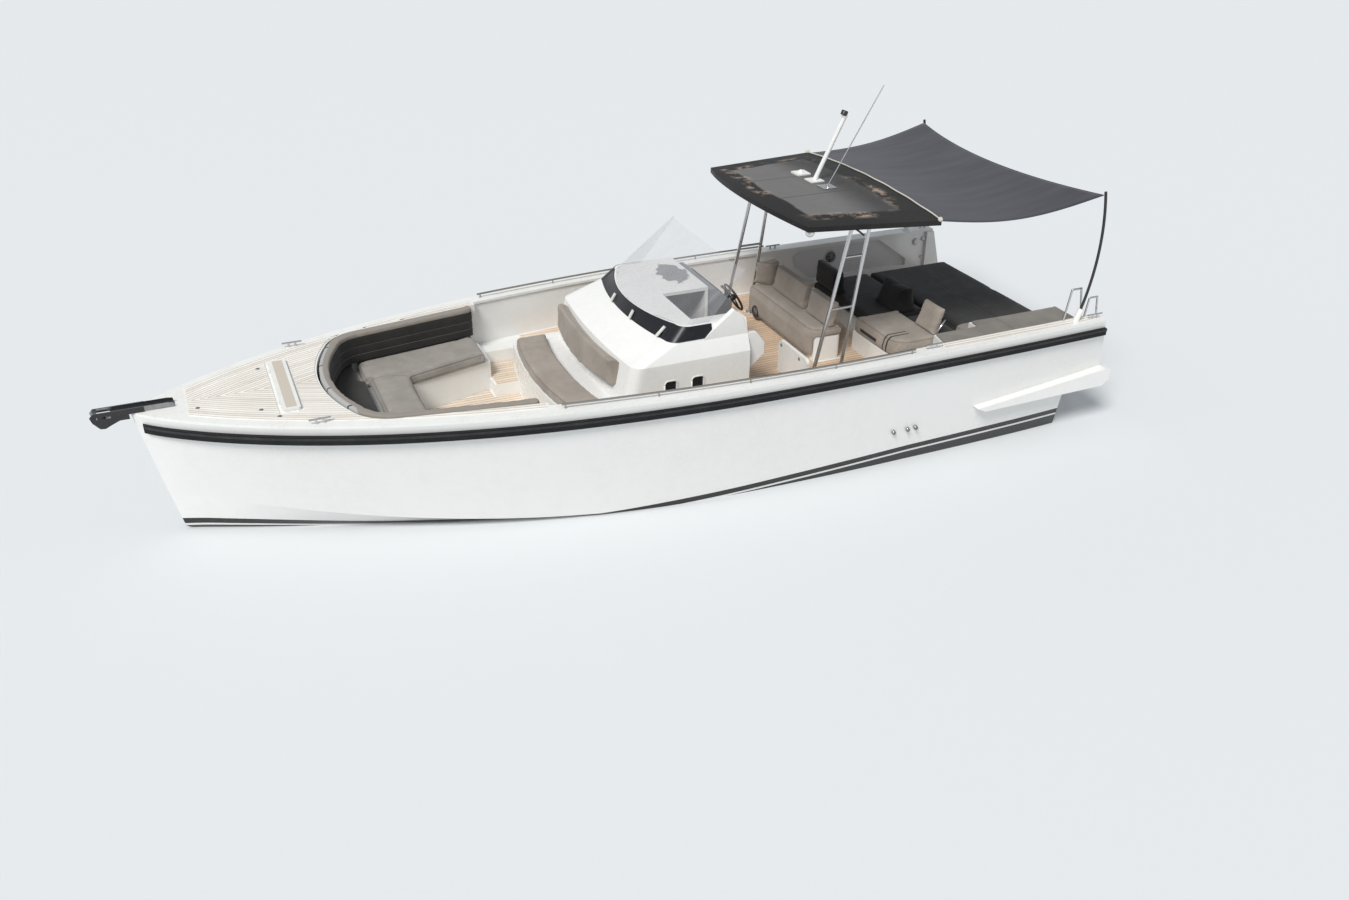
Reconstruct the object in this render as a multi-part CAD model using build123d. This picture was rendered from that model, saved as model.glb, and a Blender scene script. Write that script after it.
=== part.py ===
from build123d import *
import os

# An open motor day boat, afloat, in millimetres. X points forward, Y to port and Z up.
# The origin is on the centreline at the waterline, amidships.

# Hull
STEM_X = 5998
WIDEST_X = -2486
HALF_BEAM = 1971
STERN_X = -5070
STERN_HALF_BEAM = 1936
BOW_FULLNESS = 2.879
BOW_SHARPNESS = 0.822
NOSE = 43
SHEER_Z = 1470
STEM_RAKE = 0.157
CHINE_HALF = 1740
CHINE_FULLNESS = 2.9
CHINE_SHARPNESS = 1.08
CHINE_LOW_Z = -20
CHINE_RISE = 520
RAIL_SHARE = 0.74
RAIL_LOW_Z = -200
RAIL_RISE = 240
KEEL_Z = -580
KEEL_HALF = 25
FOREFOOT_X = 4700
PLATFORM_Z = 600
PLATFORM_THICK = 120
TRANSOM_X = -4750
STERN_FOOT_X = -5320
WING_THICK = 216
WING_Y = STERN_HALF_BEAM - WING_THICK
SPONSON_OUT = 45

# Deck, soles and openings
CAP_THICK = 30
CAP_WIDTH = 170
CAP_LIP = 20
TEAK_THICK = 8
FORE_TEAK_INSET = 140
SOLE_Z = 920
SOLE_CLEAR = 12
BOW_SOLE_Z = 600
BOW_SEAT_Z = 990
STEP_RISE = 160
BOW_JOINT_X = 1600
STEP_AFT_X = 1500
STEP_IN_Y = 620
STEP_OUT_Y = 1250
COCKPIT_AFT_X = -4960
WELL_AFT_X = 1990
WELL_AFT_Y = 1450
WELL_CORNER_X = 3500
WELL_CORNER_Y = 1200
WELL_FRONT_X = 4110
FOOTWELL_AFT_X = 1450
FOOTWELL_AFT_Y = 850
FOOTWELL_FORE_X = 3080
FOOTWELL_FORE_Y = 520
FORE_LID_X = 4475
FORE_LID_LONG = 190
FORE_LID_HALF = 640
FORE_LID_RIM = 25
FORE_LID_RISE = 12
FORE_LID_THICK = 24
FORE_LID_ROUND = 30
LOCKER_DEEP = 350
SEAT_GAP = 0.3
RECESS_DEEP = 40
QUARTER_FORE_X = -2950
QUARTER_IN_Y = 1190
QUARTER_Z = 1400
QUARTER_SLANT = 140

# Hinges, each a barrel of three knuckles on a pin
HINGE_DIA = 14
HINGE_LONG = 90
PIN_DIA = 6
PIN_GAP = 0.3
FORE_HINGE_Y = 400
LOUNGE_HINGE_IN = 300

# Rub rail
RUB_Z = 1338
RUB_HIGH = 90
RUB_OUT = 25
RUB_FORE_X = 5905
RUB_AFT_IN = 20
STRIP_OUT = 6
STRIP_LOW = 8
STRIP_HIGH = 36

# Console
CONSOLE_AFT_X = -520
CONSOLE_HALF = 1200
CONSOLE_CORNER = 140
PLINTH_Z = 1070
PLINTH_FRONT_X = 1730
PLINTH_BOW = 100
CONSOLE_FRONT_X = 1080
FRONT_BOW = 40
BROW_X = 980
BROW_BOW = 60
BROW_Z = 1560
BAND_X = 590
BAND_BOW = 135
BAND_Z = 1765
BAND_HALF = 1110
TOP_X = 525
TOP_BOW = 220
TOP_Z = 1910
TOP_HALF = 1060
CONSOLE_WALL = 40
CABIN_SOLE_Z = 250
HATCHWAY_FORE_X = 85
HATCHWAY_STBD_Y = 50
HATCHWAY_PORT_Y = 870
WINDOW_WIDE = 135
WINDOW_HIGH = 240
WINDOW_Z = 1225
WINDOW_ROUND = 35
WINDOW_XS = (466, 132)
GLASS_THICK = 8

# Windscreen
SCREEN_TOP_X = -450
SCREEN_TOP_BOW = 30
SCREEN_TOP_CORNER = 40
SCREEN_INSET = 40
SCREEN_TOP_Z = 2470
SCREEN_TOP_HALF = 1000
SCREEN_FOOT_X = -80

# Soft furnishings
CUSHION = 110
SOFT_GAP = 0.4
BACKREST = 130
BOW_CUSHION = 140
BOW_BACK_Z = 1535
BOW_FRONT_X = 3490
BOW_FRONT_HALF = 650
BOW_LONG_FORE_X = 3560
BOW_CUSHION_GAP = 25
SEAT_BACK_LOW = 1245
SEAT_BACK_HIGH = 1580
SEAT_BACK_FOOT = 115
SEAT_BACK_FOOT_BOW = 100
SEAT_BACK_HEAD = 20
SEAT_BACK_HEAD_BOW = 20
SEAT_CORNER = 50
SEAT_DEPTH = 370
CONSOLE_SEAT_HALF = 1000
CONSOLE_BACK_HALF = 980

# Helm
DASH_AFT_X = -860
DASH_PORT_Y = 30
DASH_STBD_Y = -960
DASH_Z = 1860
WHEEL_X = -1010
WHEEL_Y = -230
WHEEL_Z = 1600
WHEEL_DIA = 400
WHEEL_TILT = 62
WHEEL_RIM = 28
WHEEL_HUB = 76
WHEEL_HUB_DEEP = 50
COLUMN_DIA = 60
COLUMN_LONG = 190
BENCH_FRONT_X = -1670
BENCH_AFT_X = -2120
BENCH_STBD_Y = -1125
BENCH_PORT_Y = 600
BENCH_TOP_Z = 1240
BENCH_FRONT_LOW_Z = 1000
BENCH_FRONT_THICK = 90
BENCH_TOE = 60
BENCH_ROUND = 180
BENCH_BACK_X = -1900
BENCH_BACK_HIGH = 330
BENCH_BACK_THICK = 150
BENCH_BACK_LEAN = 75
BOARD_X = -1270
BOARD_THICK = 40
BOARD_IN_Y = 560
BOARD_OUT_Y = 1250
BOARD_TOP_Z = 1320
BOARD_ROUND = 60

# Aft sofa, port seat and sun lounge over the engine bay
LID_FORE_X = -3600
LID_AFT_X = -4900
LID_HALF = 1160
LID_TOP_Z = 1130
LID_WALL = 40
LID_GAP = 6
BAY_AFT_X = -4600
BAY_FORE_X = -3690
BAY_HALF = 1060
BAY_FLOOR_Z = -200
ENGINE_AFT_X = -4480
ENGINE_FORE_X = -3800
ENGINE_Y = 500
ENGINE_HALF = 320
ENGINE_TOP_Z = 560
SOFA_FORE_X = -2700
SOFA_PORT_Y = 350
PORT_SEAT_FORE_X = -2420
PORT_SEAT_AFT_X = -3560
PORT_SEAT_IN_Y = 370
PORT_SEAT_OUT_Y = 1330
PORT_SEAT_ROUND = 260
PORT_SEAT_TOP_Z = 1150
PORT_CUSHION = 200
PORT_BACK_Y0 = 850
PORT_BACK_Y1 = 1290
PORT_BACK_FORE_X = -2970
PORT_BACK_HIGH = 350
SOFA_BACK_HIGH = 340

# Hardtop and shade
ROOF_FRONT_X = -1140
ROOF_FRONT_HALF = 1257
ROOF_FRONT_BOW = 200
ROOF_REAR_X = -2707
ROOF_REAR_HALF = 1530
ROOF_EDGE_Z = 2900
ROOF_CAMBER = 110
ROOF_THICK = 60
LEG_DIA = 45
LEG_Y = 1170
LEG_FOOT_XS = (-1354, -1744)
LEG_HEAD_XS = (-1788, -2012)
LEG_HEAD_Z = 2940
LEG_FLANGE = 110
RUNG_DIA = 30
RUNG_ZS = (1880, 2500)
SHADE_GAP = 2
SHADE_AFT_X = -4746
SHADE_AFT_HALF = 1825
SHADE_FORE_Z = 2950
SHADE_AFT_Z = 3064
SHADE_THICK = 8
SHADE_CURVE = 230
SHADE_SIDE_CURVE = 20
POLE_DIA = 34
POLE_ABOVE = 40
POLE_FOOT_X = -4660
POLE_IN = 93
POLE_BELLY_X = -4813
POLE_BELLY_Z = 2208
SOCKET_DIA = 76
SOCKET_LONG = 150
SOCKET_FLANGE = 120
MAST_X = -1985
MAST_Y = -106
MAST_HEAD_X = -2339
MAST_HEAD_Z = 3741
MAST_DIA = 55
MAST_LAMP_DIA = 72
MAST_LAMP_LONG = 65
AERIAL_Y = 194
AERIAL_HEAD = (-2655, 4150)
AERIAL_DIA = 14
ROOF_LAMP_Y = -440
ROOF_LAMP_DIA = 70
ROOF_PLATE = 180
ROOF_PLATE_THICK = 12

# Drives
DRIVE_X = -3900
DRIVE_Y = 750
DRIVE_Z = -850
DRIVE_DIA = 190
DRIVE_SEAT_Z = -465
DRIVE_FLANGE = 360
DRIVE_STEM = 80
DRIVE_STEM_LONG = 160
DRIVE_STEM_GAP = 1
PROP_DIA = 420
PROP_GAP = 8
HUB_LONG = 110
HUB_DIA = 130
BLADES = 4
BLADE_PITCH = 32
BLADE_THICK = 12
BLADE_WIDE = 130
SHAFT_DIA = 60
POD_FORE = 200
POD_LONG = 620
LEG_LONG = 360
LEG_WIDE = 110

# Rails, cleats and the bow roller
RAIL_DIA = 25
RAIL_STAND = 50
RAIL_IN = 85
RAIL_POST_DIA = 18
HOOP_IN = 170
CLEAT_LONG = 220
CLEAT_HIGH = 52
CLEAT_BAR_DIA = 22
CLEAT_POST_DIA = 26
CLEAT_POSTS_APART = 76
ROLLER_X = 6280
ROLLER_Z = 1430
ROLLER_DIA = 80
ROLLER_HALF = 48
ROLLER_PIN_DIA = 20
ROLLER_WALL = 8
ROLLER_WALL_Y = 54


def half_beam(x):
    """Half of the beam along the sheer at the station x."""
    if x < WIDEST_X:
        run = (WIDEST_X - x) / (WIDEST_X - STERN_X)
        return HALF_BEAM - (HALF_BEAM - STERN_HALF_BEAM) * run**2
    run = (x - WIDEST_X) / (STEM_X - WIDEST_X)
    return HALF_BEAM * (1 - run**BOW_FULLNESS) ** BOW_SHARPNESS


def block(x0, x1, y0, y1, z0, z1):
    """A box between two corners."""
    centre = Pos((x0 + x1) / 2, (y0 + y1) / 2, (z0 + z1) / 2)
    return centre * Box(abs(x1 - x0), abs(y1 - y0), abs(z1 - z0))


def slab(face, z0, z1):
    """A face in the XY plane as a solid from z0 to z1."""
    return extrude(Pos(0, 0, z0) * face, z1 - z0, dir=(0, 0, 1))


def side_plate(points, y0, y1):
    """An outline of X and Z pairs as a plate from y0 to y1."""
    face = make_face(Polyline(*[(x, y0, z) for x, z in points], close=True))
    return extrude(face, y1 - y0, dir=(0, 1, 0))


def rod(start, end, diameter):
    """A round bar between two points."""
    span = Vector(end) - Vector(start)
    return extrude(Plane(origin=start, z_dir=span) * Circle(diameter / 2), span.length)


def other_side(solid):
    """The same piece across the centreline."""
    return mirror(solid, about=Plane.XZ)


def save(name, *shapes):
    """One STEP file for a node."""
    os.makedirs("parts", exist_ok=True)
    solids = [solid for shape in shapes for solid in shape.solids()]
    export_step(solids[0] if len(solids) == 1 else Compound(children=solids), f"parts/{name}.step")


def hinge(x, y, z, leaf_x, base_z):
    """A hinge along Y: its fixed outer knuckles with the pin, and the middle one that swings on it."""
    pin = rod((x, y - HINGE_LONG / 2, z), (x, y + HINGE_LONG / 2, z), PIN_DIA)
    inner = HINGE_LONG / 6
    fixed = pin
    for side in (-1, 1):
        ends = [(x, y + side * reach, z) for reach in (inner + PIN_GAP, HINGE_LONG / 2)]
        fixed += rod(*ends, HINGE_DIA)
        fixed += block(x - HINGE_DIA / 2, x + HINGE_DIA / 2, ends[0][1], ends[1][1], base_z - 1, z)
    moving = rod((x, y - inner, z), (x, y + inner, z), HINGE_DIA)
    moving += block(leaf_x, x, y - inner, y + inner, z - HINGE_DIA / 2, z + HINGE_DIA / 2)
    moving -= rod((x, y - HINGE_LONG, z), (x, y + HINGE_LONG, z), PIN_DIA + 2 * PIN_GAP)
    return fixed, moving


# The hull's stations along the sheer, closer together where the bow turns in
STATIONS = (-5420, -3900, -2486, -300, 1700, 3200, 4300, 5100, 5650, STEM_X - NOSE)


def bend(start, middle, end):
    """An arc through three points, or a line where they lie straight."""
    chord = Vector(*end) - Vector(*start)
    off = (Vector(*middle) - Vector(*start)).cross(chord).length / chord.length
    return Line(start, end) if off < 0.1 else ThreePointArc(start, middle, end)


def waterline_wire(point):
    """A closed line round the hull, arc by arc, where point gives its place at a station."""
    edges = []
    ends = [point(x) for x in STATIONS]
    middles = [point((x0 + x1) / 2) for x0, x1 in zip(STATIONS, STATIONS[1:])]
    stern, bow = ends[0], ends[-1]
    edges.append(Line((stern[0], -stern[1], stern[2]), stern))
    for start, middle, end in zip(ends, middles, ends[1:]):
        edges.append(bend(start, middle, end))
    nose = bow[0] + NOSE * min(1, bow[1] / NOSE)
    edges.append(ThreePointArc(bow, (nose, 0, bow[2]), (bow[0], -bow[1], bow[2])))
    for start, middle, end in reversed(list(zip(ends[1:], middles, ends))):
        edges.append(bend(*[(x, -y, z) for x, y, z in (start, middle, end)]))
    return Wire([edge.edge() for edge in edges])


def bow_share(x):
    """How far a station lies along the rising part of the bow, from 0 to 1."""
    return max(0, x + 500) / (STEM_X - STEM_RAKE * SHEER_Z + 500)


def raked(x, z):
    """A station moved aft by the stem's rake at the height z."""
    return x - (SHEER_Z - z) * STEM_RAKE * (max(0, x - 2000) / (STEM_X - 2000)) ** 2


def sheer_point(x):
    return (x, half_beam(x), SHEER_Z)


def chine_point(x):
    z = CHINE_LOW_Z + CHINE_RISE * bow_share(raked(x, 0)) ** 2
    at = raked(x, z)
    run = abs(at - WIDEST_X) / (raked(STEM_X, z) - WIDEST_X)
    return (at, CHINE_HALF * (1 - run**CHINE_FULLNESS) ** CHINE_SHARPNESS, z)


def spray_point(x):
    z = RAIL_LOW_Z + RAIL_RISE * bow_share(raked(x, 0))
    return (raked(x, z) - 20, RAIL_SHARE * chine_point(x)[1], z)


def keel_point(x):
    fore = FOREFOOT_X - STATIONS[0]
    return (STATIONS[0] + (x - STATIONS[0]) * fore / (STEM_X - STATIONS[0]), KEEL_HALF, KEEL_Z)


# Hull moulding, through the sheer, the chine, the spray rail and the keel
lines = [waterline_wire(point) for point in (sheer_point, chine_point, spray_point, keel_point)]
hull_form = Solid.make_loft(lines, ruled=True)
hull_form -= side_plate(
    [(STERN_X, SHEER_Z + 10), (STERN_FOOT_X, 580), (STERN_FOOT_X, 400),
     (-5600, 400), (-5600, SHEER_Z + 10)], -2100, 2100)
hull_form -= block(-5600, TRANSOM_X, -2100, 2100, -900, PLATFORM_Z - PLATFORM_THICK)

# Side mouldings that run aft past the transom
SPONSON = [(-3300, 600), (-3420, 545), (-5230, 560), (-5325, 640), (-5325, 780), (-5240, 790)]
sponson = side_plate(SPONSON, WING_Y, half_beam(-4300) + SPONSON_OUT - 60)
hull = hull_form + sponson + other_side(sponson)


def well_outline(margin):
    """The bow seat's U in plan, moved outwards by margin."""
    half = [
        (WELL_AFT_X, WELL_AFT_Y + margin),
        (WELL_CORNER_X, WELL_CORNER_Y + margin),
        (WELL_CORNER_X + 270 + 0.7 * margin, WELL_CORNER_Y - 125 + 0.7 * margin),
        (WELL_FRONT_X - 190 + margin, WELL_CORNER_Y - 345 + 0.4 * margin),
    ]
    edges = [Line((half[0][0], -half[0][1]), half[0])]
    for side in (1, -1):
        aft, corner, shoulder, bend = [(x, side * y) for x, y in half]
        edges.append(Line(aft, corner))
        edges.append(ThreePointArc(corner, shoulder, bend))
    edges.append(ThreePointArc(half[3], (WELL_FRONT_X + margin, 0), (half[3][0], -half[3][1])))
    return make_face(edges)


def sheer_face(stations, inset):
    """A flat face whose two sides follow the sheer through the stations, moved in by inset."""
    edges = []
    for x0, x1 in zip(stations, stations[1:]):
        for side in (1, -1):
            edges.append(bend(*[(x, side * (half_beam(x) - inset), 0) for x in (x0, (x0 + x1) / 2, x1)]))
    for x in (stations[0], stations[-1]):
        edges.append(Line((x, half_beam(x) - inset), (x, inset - half_beam(x))))
    return make_face(edges)


COCKPIT_STATIONS = (COCKPIT_AFT_X, -3900, -2486, -300, WELL_AFT_X + 1)
cockpit_face = sheer_face(COCKPIT_STATIONS, CAP_WIDTH)
opening = slab(cockpit_face, SOLE_Z, SHEER_Z + 50) + slab(well_outline(0), BOW_SEAT_Z, SHEER_Z + 50)
footwell_face = make_face(Polyline(
    (FOOTWELL_AFT_X, FOOTWELL_AFT_Y + 200), (WELL_AFT_X, FOOTWELL_AFT_Y),
    (FOOTWELL_FORE_X, FOOTWELL_FORE_Y), (FOOTWELL_FORE_X, -FOOTWELL_FORE_Y),
    (WELL_AFT_X, -FOOTWELL_AFT_Y), (FOOTWELL_AFT_X, -FOOTWELL_AFT_Y - 200), close=True))
STEP_Z = BOW_SOLE_Z + STEP_RISE
step = block(FOOTWELL_AFT_X - 10, WELL_AFT_X + 20, -STEP_OUT_Y, -STEP_IN_Y, BOW_SOLE_Z - 5, STEP_Z)
footwell = slab(footwell_face, BOW_SOLE_Z, BOW_SEAT_Z + 10) - step
step_space = block(STEP_AFT_X, WELL_AFT_X, -STEP_OUT_Y, -STEP_IN_Y, STEP_Z, BOW_SEAT_Z + 10)
stern_well = block(-5600, COCKPIT_AFT_X, -WING_Y, WING_Y, PLATFORM_Z, SHEER_Z + 50)
engine_bay = block(BAY_AFT_X, BAY_FORE_X, -BAY_HALF, BAY_HALF, BAY_FLOOR_Z, SOLE_Z + 10)
cabin_low = block(CONSOLE_AFT_X + 60, 1000, -1100, 1100, CABIN_SOLE_Z, SOLE_Z + 10)
lid_x0, lid_x1 = FORE_LID_X - FORE_LID_LONG / 2, FORE_LID_X + FORE_LID_LONG / 2
rim = FORE_LID_RIM
locker = block(lid_x0 + rim, lid_x1 - rim, rim - FORE_LID_HALF, FORE_LID_HALF - rim,
               SHEER_Z - LOCKER_DEEP, SHEER_Z + 10)
# A shallow recess in the starboard bulwark beside the sun lounge
RECESS = [(-2700, 1350), (-2830, 1435), (-4160, 1435), (-4660, 1080), (-4660, 980), (-3050, 980), (-2760, 1200)]
recess_y = half_beam(-3900) - CAP_WIDTH
recess = side_plate(RECESS, -recess_y - RECESS_DEEP, 100 - recess_y)
for space in (opening, footwell, step_space, stern_well, engine_bay, cabin_low, locker, recess):
    hull -= space
for y in (DRIVE_Y, -DRIVE_Y):
    hull += slab(Pos(DRIVE_X, y) * Circle(DRIVE_FLANGE / 2), DRIVE_SEAT_Z, DRIVE_SEAT_Z + 190)
    hull -= slab(Pos(DRIVE_X, y) * Circle(DRIVE_STEM / 2 + DRIVE_STEM_GAP), DRIVE_SEAT_Z - 5,
                 DRIVE_SEAT_Z + DRIVE_STEM_LONG)
LOUNGE_HINGE_X = LID_AFT_X - HINGE_DIA / 2 - 1
LOUNGE_HINGE_Z = SOLE_Z + SEAT_GAP + HINGE_DIA / 2 + 1
lounge_knuckles = []
for y in (LOUNGE_HINGE_IN - LID_HALF, LID_HALF - LOUNGE_HINGE_IN):
    fixed, moving = hinge(LOUNGE_HINGE_X, y, LOUNGE_HINGE_Z, LID_AFT_X + 1, SOLE_Z)
    hull += fixed
    lounge_knuckles.append(moving)

# The moulding in three levels: up to the low soles, up to the cockpit sole, and the bulwarks above it,
# whose sides and bow meet at a joint ahead of the console
level_box = (-6000, 7000, -2 * HALF_BEAM, 2 * HALF_BEAM)
bow_box = (BOW_JOINT_X, *level_box[1:])
bottom = hull & block(*level_box, 2 * KEEL_Z, BOW_SOLE_Z)
for shape in (sponson, other_side(sponson)):
    bottom -= shape
bulwarks = hull & block(*level_box, SOLE_Z, 2 * SHEER_Z)
topsides = (hull - bottom) - block(*level_box, SOLE_Z, 2 * SHEER_Z)
knuckle_space = block(LOUNGE_HINGE_X - HINGE_DIA, LID_AFT_X + HINGE_DIA, -LID_HALF, LID_HALF, SOLE_Z, SOLE_Z + 40)
topsides += hull & knuckle_space
save("hull", bottom)
save("topsides", topsides)
save("bow_bulwarks", bulwarks & block(*bow_box, SOLE_Z, 2 * SHEER_Z))
bulwarks -= block(*bow_box, SOLE_Z, 2 * SHEER_Z)
save("bulwarks", *(bulwarks - knuckle_space).solids())

# Gunwale cap and foredeck, one moulding that overhangs the cockpit by a lip
DECK_Z = SHEER_Z + CAP_THICK
deck = slab(make_face(waterline_wire(sheer_point)), 0, CAP_THICK)
deck -= block(STATIONS[0] - 200, STERN_X, -2 * HALF_BEAM, 2 * HALF_BEAM, SHEER_Z - 10, DECK_Z + 10)
lip_face = sheer_face((STATIONS[0] - 180, *COCKPIT_STATIONS[1:]), CAP_WIDTH + CAP_LIP)
deck -= slab(lip_face, SHEER_Z - 10, DECK_Z + 20)
deck -= slab(well_outline(0), SHEER_Z - 10, DECK_Z + 20)
rim_z = DECK_Z + FORE_LID_RISE
lid_edges = (lid_x0, lid_x1, -FORE_LID_HALF, FORE_LID_HALF)
rim_block = block(*lid_edges, DECK_Z, rim_z)
deck += fillet(rim_block.edges().filter_by(Axis.Z), FORE_LID_ROUND)
deck -= block(lid_x0 + rim, lid_x1 - rim, rim - FORE_LID_HALF, FORE_LID_HALF - rim, SHEER_Z - 10, rim_z + 10)

# A narrow lid across the foredeck, on a rim over a rope locker, hinged along its front edge
foredeck_lid = block(*lid_edges, rim_z + SEAT_GAP, rim_z + FORE_LID_THICK)
foredeck_lid = fillet(foredeck_lid.edges().filter_by(Axis.Z), FORE_LID_ROUND)
for y in (-FORE_HINGE_Y, FORE_HINGE_Y):
    fixed, moving = hinge(lid_x1 + HINGE_DIA / 2 + 1, y, rim_z + SEAT_GAP + HINGE_DIA / 2 + 1, lid_x1 - 1, DECK_Z)
    deck += fixed
    foredeck_lid += moving
save("deck", deck & block(*bow_box, SOLE_Z, 2 * SHEER_Z))
save("side_decks", *(deck - block(*bow_box, SOLE_Z, 2 * SHEER_Z)).solids())
save("foredeck_lid", foredeck_lid)

# Teak planking on the foredeck and beside the bow seat
TEAK_STATIONS = (WELL_AFT_X + 40, 3200, 4300, 5100, 5450)
LID_CLEAR = 30
teak = slab(sheer_face(TEAK_STATIONS, FORE_TEAK_INSET), DECK_Z, DECK_Z + TEAK_THICK)
teak -= slab(well_outline(20), DECK_Z - 5, DECK_Z + 40)
teak -= block(lid_x0 - LID_CLEAR, lid_x1 + LID_CLEAR, -FORE_LID_HALF - LID_CLEAR, FORE_LID_HALF + LID_CLEAR,
              DECK_Z - 5, DECK_Z + 40)
save("foredeck_teak", teak)

# Rub rail along each side, cut square at both ends, with a bright strip along its upper half
RUB_STATIONS = (STERN_X - RUB_AFT_IN, *STATIONS[1:-1], RUB_FORE_X)
rub_form = slab(sheer_face(RUB_STATIONS, -RUB_OUT), RUB_Z - RUB_HIGH / 2, RUB_Z + RUB_HIGH / 2)
save("rub_rail", rub_form - hull_form)
strip = slab(sheer_face(RUB_STATIONS, -RUB_OUT - STRIP_OUT), RUB_Z + STRIP_LOW, RUB_Z + STRIP_HIGH)
save("rub_strip", strip - rub_form)


def console_face(front_x, half, aft_x, z, corner=CONSOLE_CORNER, bow=FRONT_BOW):
    """The console's outline at one height, with straight sides and a front that bows forward."""
    edge_x = front_x - bow
    edges = [Line((aft_x, -half), (aft_x, half)), Line((aft_x, half), (edge_x - corner, half))]
    edges.append(ThreePointArc((edge_x - corner, half), (edge_x - 0.3 * corner, half - 0.3 * corner),
                               (edge_x, half - corner)))
    edges.append(ThreePointArc((edge_x, half - corner), (front_x, 0), (edge_x, corner - half)))
    edges.append(ThreePointArc((edge_x, corner - half), (edge_x - 0.3 * corner, 0.3 * corner - half),
                               (edge_x - corner, -half)))
    edges.append(Line((edge_x - corner, -half), (aft_x, -half)))
    return Pos(0, 0, z) * make_face(edges)


def plinth_form(margin, top_z):
    """The console's plinth, moved outwards by margin."""
    face = console_face(PLINTH_FRONT_X + margin, CONSOLE_HALF + margin, CONSOLE_AFT_X - margin, 0, bow=PLINTH_BOW)
    return slab(face, BOW_SOLE_Z, top_z)


# Teak on the soles, cut clear of what stands on them
sole = slab(sheer_face((COCKPIT_AFT_X + 30, *COCKPIT_STATIONS[1:-1], 1400), CAP_WIDTH + 40),
            SOLE_Z, SOLE_Z + TEAK_THICK)
flange = LEG_FLANGE / 2
standing = [
    (BENCH_AFT_X, BENCH_FRONT_X - BENCH_FRONT_THICK, BENCH_STBD_Y, BENCH_PORT_Y),
    (BOARD_X - BOARD_THICK / 2, BOARD_X + BOARD_THICK / 2, BOARD_IN_Y, BOARD_OUT_Y),
    (LID_FORE_X, SOFA_FORE_X, -LID_HALF, SOFA_PORT_Y),
    (PORT_SEAT_AFT_X, PORT_SEAT_FORE_X, PORT_SEAT_IN_Y, PORT_SEAT_OUT_Y),
    (LID_AFT_X - 100, QUARTER_FORE_X + QUARTER_SLANT, PORT_SEAT_OUT_Y, HALF_BEAM),
    (LID_AFT_X - 100, PORT_SEAT_AFT_X, -LID_HALF, PORT_SEAT_OUT_Y + SOLE_CLEAR),
] + [(x - flange, x + flange, y - flange, y + flange) for x in LEG_FOOT_XS for y in (-LEG_Y, LEG_Y)]
for x0, x1, y0, y1 in standing:
    sole -= block(x0 - SOLE_CLEAR, x1 + SOLE_CLEAR, y0 - SOLE_CLEAR, y1 + SOLE_CLEAR, SOLE_Z - 20, SOLE_Z + 80)
step_teak = block(STEP_AFT_X + 10, WELL_AFT_X - 10, 10 - STEP_OUT_Y, -STEP_IN_Y - 10, STEP_Z, STEP_Z + TEAK_THICK)
foot_teak = slab(offset(footwell_face, -SOLE_CLEAR), BOW_SOLE_Z, BOW_SOLE_Z + TEAK_THICK)
foot_teak -= block(FOOTWELL_AFT_X - 20, WELL_AFT_X + 40, -STEP_OUT_Y, 10 - STEP_IN_Y, BOW_SOLE_Z - 5, STEP_Z)
platform_teak = block(-5290, COCKPIT_AFT_X - 20, 30 - WING_Y, WING_Y - 30, PLATFORM_Z, PLATFORM_Z + TEAK_THICK)
round_console = plinth_form(SOLE_CLEAR, SHEER_Z)
save("teak_soles", sole - round_console, step_teak - round_console, foot_teak - round_console, platform_teak)


def console_form(inset, top_z):
    """The console as a solid, smaller by inset on each side: plinth, front, sloping brow and glazed band."""
    levels = (
        (CONSOLE_FRONT_X, CONSOLE_HALF, PLINTH_Z - 100, FRONT_BOW),
        (BROW_X, CONSOLE_HALF, BROW_Z, BROW_BOW),
        (BAND_X, BAND_HALF, BAND_Z, BAND_BOW),
        (TOP_X, TOP_HALF, top_z, TOP_BOW),
    )
    faces = [console_face(x - inset, half - inset, CONSOLE_AFT_X + inset, z, bow=bow) for x, half, z, bow in levels]
    return plinth_form(-inset, PLINTH_Z - inset) + loft(faces, ruled=True)


# Console over the cabin, hollow, open at the hatchway, with two windows a side and a raised cheek to port
CHEEK = [(40, 1750), (-340, 2050), (-430, 1985), (-520, 1740), (-640, 1725), (-740, 1590), (-740, 1450),
         (-600, 1330), (CONSOLE_AFT_X + 10, 1330)]
cheek = side_plate(CHEEK, TOP_HALF - 10, BAND_HALF + 10)
console = console_form(0, TOP_Z) - console_form(CONSOLE_WALL, TOP_Z - CONSOLE_WALL) - hull
console += cheek - console_form(CONSOLE_WALL, TOP_Z - CONSOLE_WALL)
console -= block(CONSOLE_AFT_X - 50, HATCHWAY_FORE_X, HATCHWAY_STBD_Y, HATCHWAY_PORT_Y,
                 TOP_Z - CONSOLE_WALL - 20, TOP_Z + 50)
console -= block(CONSOLE_AFT_X - 50, CONSOLE_AFT_X + CONSOLE_WALL + 5,
                 HATCHWAY_STBD_Y, HATCHWAY_PORT_Y, SOLE_Z + 60, TOP_Z + 50)
windows = []
for x in WINDOW_XS:
    side = Plane(origin=(x, 0, WINDOW_Z), x_dir=(1, 0, 0), z_dir=(0, 1, 0))
    outline = RectangleRounded(WINDOW_WIDE, WINDOW_HIGH, WINDOW_ROUND)
    console -= extrude(side * outline, CONSOLE_HALF + 50, both=True)
    for y in (CONSOLE_WALL / 2 - CONSOLE_HALF, CONSOLE_HALF - CONSOLE_WALL / 2):
        windows.append(extrude(side.offset(y) * outline, GLASS_THICK / 2, both=True))
save("console", console)
save("cabin_windows", *windows)

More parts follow.
